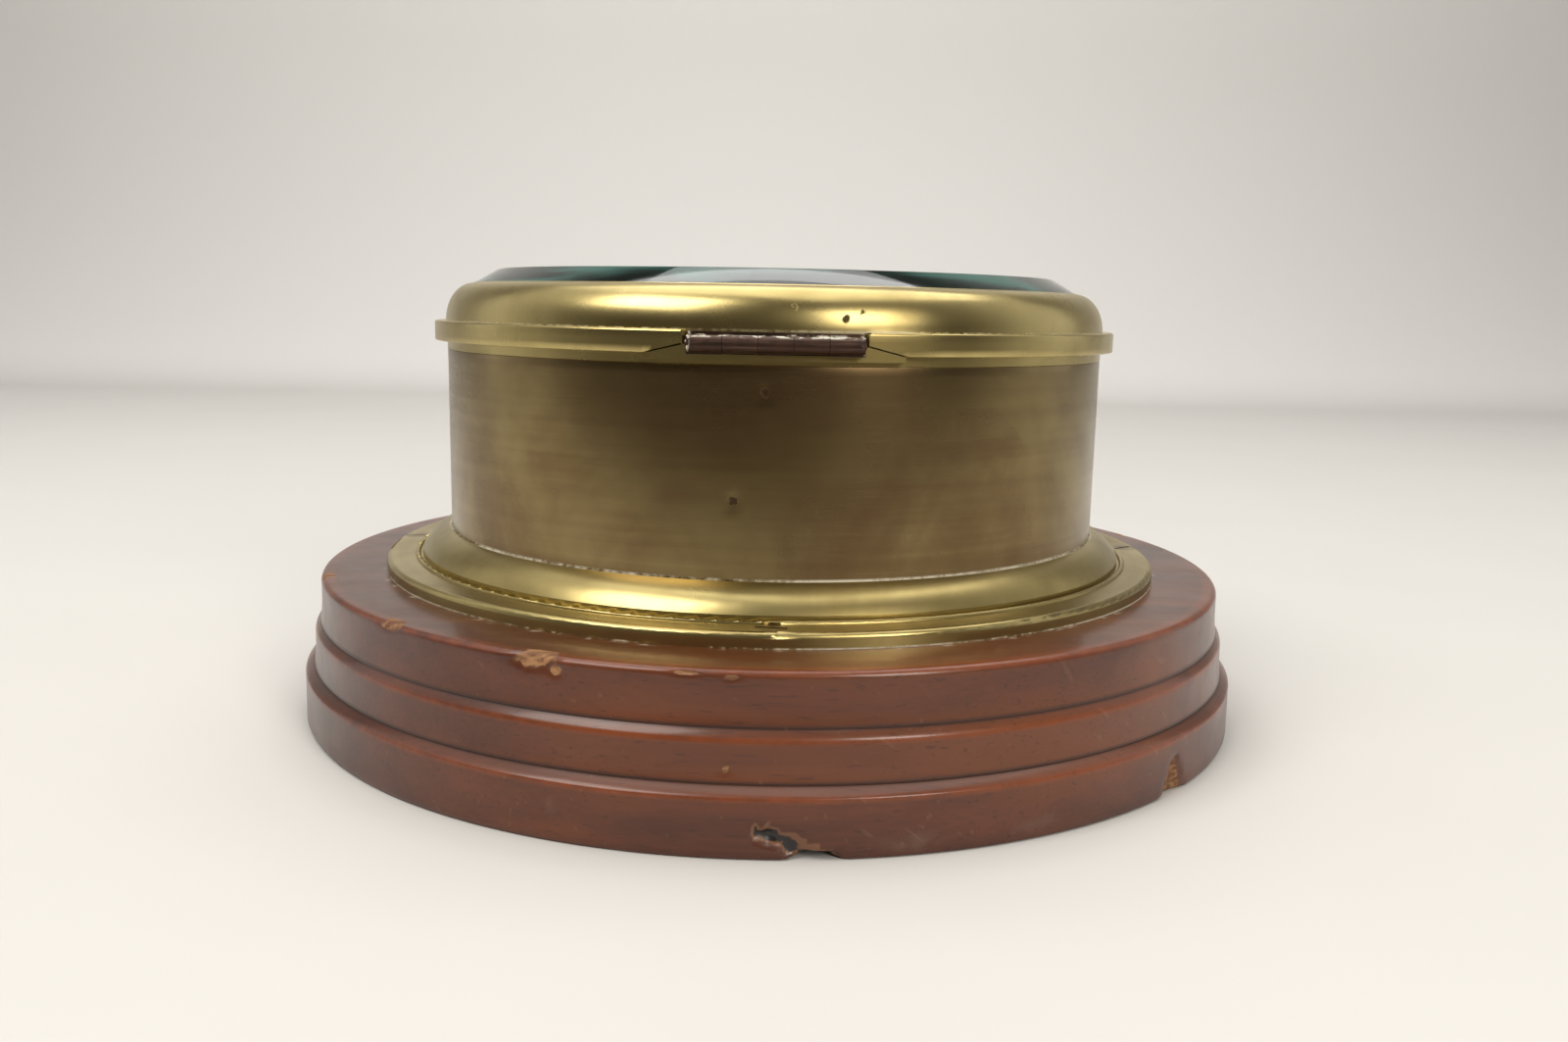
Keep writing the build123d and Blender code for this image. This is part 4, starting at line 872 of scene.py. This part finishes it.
class COMPASS_OT_dial(bpy.types.Operator):
    """Enamelled card with a degree scale, numerals and an eight-pointed rose"""

    bl_idname = "compass.dial"
    bl_label = "Compass card"

    def execute(self, context):
        p = context.scene.compass_dial
        low, high = card_box
        hole = 4.45 * MM
        corners = [(hole, low.z), (high.x, low.z), (high.x, high.z), (hole, high.z)]
        outline = rounded_path(corners, [0.05 * MM, 0.25 * MM, 0.25 * MM, 0.05 * MM], 4)
        grid_mesh(
            "dial_card", revolved(refined(outline, 4 * MM), even_turns(360)), card_enamel(p), "card",
            ["compass_card"], True,
        )
        ink = plain_solid("dial_ink", p.ink_colour, (0.05, 0.046, 0.048), 300.0, 0.42)
        red = plain_solid("dial_red", (0.22, 0.022, 0.016), (0.34, 0.040, 0.026), 300.0, 0.42)
        base, top = high.z - 0.01 * MM, high.z + p.ink_height
        scale_edge, line_width = 55.4 * MM, 0.3
        marks = []
        for degree in range(0, 360, 2):
            long_mark = degree % 10 == 0
            inner = (50.6 if long_mark else 53.0) * MM
            half = (0.30 if long_mark else 0.16) * MM
            bar = np.array([[-half, inner], [half, inner], [half, scale_edge], [-half, scale_edge]])
            marks.append(prism(turned_round(bar, degree), base, top))
        for radius in (55.8, 50.2, 37.5):
            turns = even_turns(180)
            inner, outer = radius * MM, (radius + line_width) * MM
            ring = np.array([(inner, base), (outer, base), (outer, top), (inner, top)])
            name = f"scale_line_{int(radius)}"
            grid_mesh(name, revolved(ring, turns), ink, "card", wrap_rows=True)
        self.add_print("degree_scale", marks, ink)
        dark, light = [], []
        for point in range(8):
            size = (34.5 if point % 2 == 0 else 25.0) * MM
            waist = (6.6 if point % 2 == 0 else 4.6) * MM
            side = np.array([waist * sin(pi / 8), waist * cos(pi / 8)])
            tip = np.array([0.0, size])
            root = np.array([0.0, hole * 1.35])
            right = np.array([root, side, tip])
            dark.append(prism(turned_round(right, point * 45), base, top))
            thin = 0.22 * MM
            shoulder = side * [-1, 1]
            outer = np.array([tip, shoulder, shoulder + [thin, -thin * 0.2], tip - [0, 9 * thin]])
            light.append(prism(turned_round(outer, point * 45), base, top))
        self.add_print("rose_points", dark, ink)
        self.add_print("rose_outlines", light, ink)
        arrow = np.array([[-2.3, 41.0], [0.0, 39.2], [2.3, 41.0], [0.0, 48.9]]) * MM
        self.add_print("north_mark", [prism(arrow, base, top + 0.01 * MM)], red)
        numeral, letter = (42.0 * MM, 4.6 * MM), (40.8 * MM, 7.0 * MM)  # radius and size
        words = [(str(d), d, *numeral) for d in range(30, 360, 30) if d % 90]
        words += [("E", 90, *letter), ("S", 180, *letter), ("W", 270, *letter)]
        for word, degree, radius, size in words:
            self.add_word(word, degree, radius, size, base, top, ink)
        return {"FINISHED"}

    def add_print(self, name, parts, material):
        """One printed piece from several raised shapes."""
        points, faces = joined(parts)
        mesh = bpy.data.meshes.new(name)
        mesh.from_pydata(points, [], faces)
        add_piece(name, mesh, material, "card")

    def add_word(self, word, degree, radius, size, base, top, material):
        """A numeral or letter, made a mesh, then turned to read from the card's centre outwards."""
        curve = bpy.data.curves.new("word", "FONT")
        curve.body = word
        curve.size = size
        curve.align_x = "CENTER"
        curve.extrude = (top - base) / 2
        curve.resolution_u = 4
        maker = bpy.data.objects.new("word", curve)
        bpy.context.scene.collection.objects.link(maker)
        bpy.context.view_layer.update()
        mesh = bpy.data.meshes.new_from_object(maker.evaluated_get(bpy.context.evaluated_depsgraph_get()))
        bpy.data.objects.remove(maker)
        outwards = Matrix.Translation((0, radius, (top + base) / 2))
        mesh.transform(Matrix.Rotation(-radians(degree), 4, "Z") @ outwards)
        mesh.materials.clear()
        add_piece(f"mark_{degree:03d}", mesh, material, "card")


# ------------------------------------------------------------------------ stage
def soft_light(name, place, target, size, power, tone):
    """A rectangular area light turned towards a point."""
    lamp = bpy.data.lights.new(name, "AREA")
    lamp.shape = "RECTANGLE"
    lamp.size, lamp.size_y = size
    lamp.energy = power
    lamp.color = tone
    holder = bpy.data.objects.new(name, lamp)
    holder.location = place
    holder.rotation_euler = (Vector(target) - Vector(place)).to_track_quat("-Z", "Y").to_euler()
    bpy.context.scene.collection.objects.link(holder)


class COMPASS_OT_stage(bpy.types.Operator):
    """Pale floor that sweeps up into a backdrop, darkened far in front as painted shade for the drum to mirror, soft
    lights and the camera
    """

    bl_idname = "compass.stage"
    bl_label = "Stage"

    def execute(self, context):
        p = context.scene.compass_stage
        g = Graph("floor")
        place = g.place()
        depth = g.split(place, "Y")[0]
        # painted shade: the floor darkens far in front, a dark sheet the drum mirrors
        painted_front_shade = depth.step(-0.23, -0.50)
        tone = g.mix(g.noise(place, 9.0, 3.0), p.floor_colour, tuple(c * 0.95 for c in p.floor_colour))
        tone = g.mix(depth.step(1.15, 1.40), tone, p.wall_colour)
        tone = g.mix(painted_front_shade, tone, p.front_colour)
        weave = g.noise(place, 900.0, 3.0)
        material = g.surface(Base_Color=tone, Roughness=0.85, Normal=g.bump(weave, 0.05 * MM, 0.25))
        # floor, a quarter round and a wall, swept along X
        turn = np.linspace(0, pi / 2, 24)[:, None]
        bend = np.hstack([1.2 + 0.5 * np.sin(turn), 0.5 - 0.5 * np.cos(turn)])
        sweep = np.vstack([[[-2.5, 0.0], [1.0, 0.0]], bend, [[1.7, 2.6]]])
        width = np.array([-3.0, 3.0])[:, None]
        points = np.stack([width + 0 * sweep[:, 0], sweep[:, 0] + 0 * width, sweep[:, 1] + 0 * width], axis=-1)
        count = len(sweep)
        row = np.arange(count - 1)
        quads = np.stack([row, row + count, row + count + 1, row + 1], axis=1)
        mesh = bpy.data.meshes.new("floor")
        mesh.from_pydata(points.reshape(-1, 3), [], quads.tolist())
        mesh.shade_smooth()
        mesh.materials.append(material)
        floor = bpy.data.objects.new("floor", mesh)
        context.scene.collection.objects.link(floor)

        soft_light("window_left", (-0.80, -0.66, 1.25), (0, 0, 0.08), (0.85, 0.70), 13.0, (1.0, 0.97, 0.92))
        soft_light("window_right", (0.62, -1.10, 0.66), (0, 0, 0.08), (0.40, 0.60), 8.5, (1.0, 0.96, 0.88))
        soft_light("overhead", (0.1, 0.25, 1.5), (0, 0.1, 0.0), (1.6, 1.4), 13.0, (1.0, 0.98, 0.95))
        soft_light("backdrop", (0.0, 0.95, 1.8), (0.0, 1.70, 0.50), (2.2, 0.5), 8.0, (1.0, 0.99, 0.97))

        room = Graph("room", "worlds")
        ahead = room.split(room.node("ShaderNodeTexCoord", output="Generated"), "Y")[0]
        sky = room.mix(ahead.step(-0.55, 0.45), (0.055, 0.046, 0.035), (0.80, 0.785, 0.77))
        glow = room.node("ShaderNodeBackground", None, {"Color": sky})
        room.node("ShaderNodeOutputWorld", None, {"Surface": glow})
        context.scene.world = room.owner
        context.scene.view_settings.view_transform = "Standard"

        camera = bpy.data.cameras.new("camera")
        camera.sensor_width = 36.0
        camera.lens = p.lens
        camera.clip_start = 0.01
        holder = bpy.data.objects.new("camera", camera)
        forward = Vector((sin(p.heading) * cos(p.pitch), cos(p.heading) * cos(p.pitch), -sin(p.pitch)))
        right = Vector((cos(p.heading), -sin(p.heading), 0.0))
        up = right.cross(forward)
        rolled_right = cos(p.roll) * right + sin(p.roll) * up
        rolled_up = cos(p.roll) * up - sin(p.roll) * right
        turn = Matrix((rolled_right, rolled_up, -forward)).transposed().to_4x4()
        holder.matrix_world = Matrix.Translation(p.camera_place) @ turn
        context.scene.collection.objects.link(holder)
        context.scene.camera = holder
        return {"FINISHED"}


# ----------------------------------------------------------------------- add-on
PIECES = (COMPASS_OT_base, COMPASS_OT_drum, COMPASS_OT_lid, COMPASS_OT_metalwork, COMPASS_OT_dial, COMPASS_OT_stage)
PROPS = {
    "compass_base": CompassBaseProps,
    "compass_brass": CompassBrassProps,
    "compass_lid": CompassLidProps,
    "compass_dial": CompassDialProps,
    "compass_stage": CompassStageProps,
}


class COMPASS_PT_panel(bpy.types.Panel):
    """Sizes, colours and the makers of each piece"""

    bl_label = "Binnacle Compass"
    bl_idname = "COMPASS_PT_panel"
    bl_space_type = "VIEW_3D"
    bl_region_type = "UI"
    bl_category = "Compass"

    def draw(self, context):
        for group_name in PROPS:
            box = self.layout.box()
            group = getattr(context.scene, group_name)
            for key in group.bl_rna.properties.keys():
                if key not in ("rna_type", "name"):
                    box.prop(group, key)
        for maker in PIECES:
            self.layout.operator(maker.bl_idname)


def register():
    """Adds the classes and the sidebar's values."""
    for group_name, group in PROPS.items():
        bpy.utils.register_class(group)
        setattr(bpy.types.Scene, group_name, bpy.props.PointerProperty(type=group))
    for maker in (*PIECES, COMPASS_PT_panel):
        bpy.utils.register_class(maker)


def unregister():
    """Takes the classes and the values away again."""
    for maker in reversed((*PIECES, COMPASS_PT_panel)):
        bpy.utils.unregister_class(maker)
    for group_name, group in PROPS.items():
        delattr(bpy.types.Scene, group_name)
        bpy.utils.unregister_class(group)


def main():
    """Makes every piece in order."""
    register()
    for maker in PIECES:
        family, step = maker.bl_idname.split(".")
        getattr(getattr(bpy.ops, family), step)()


if __name__ == "__main__":
    main()
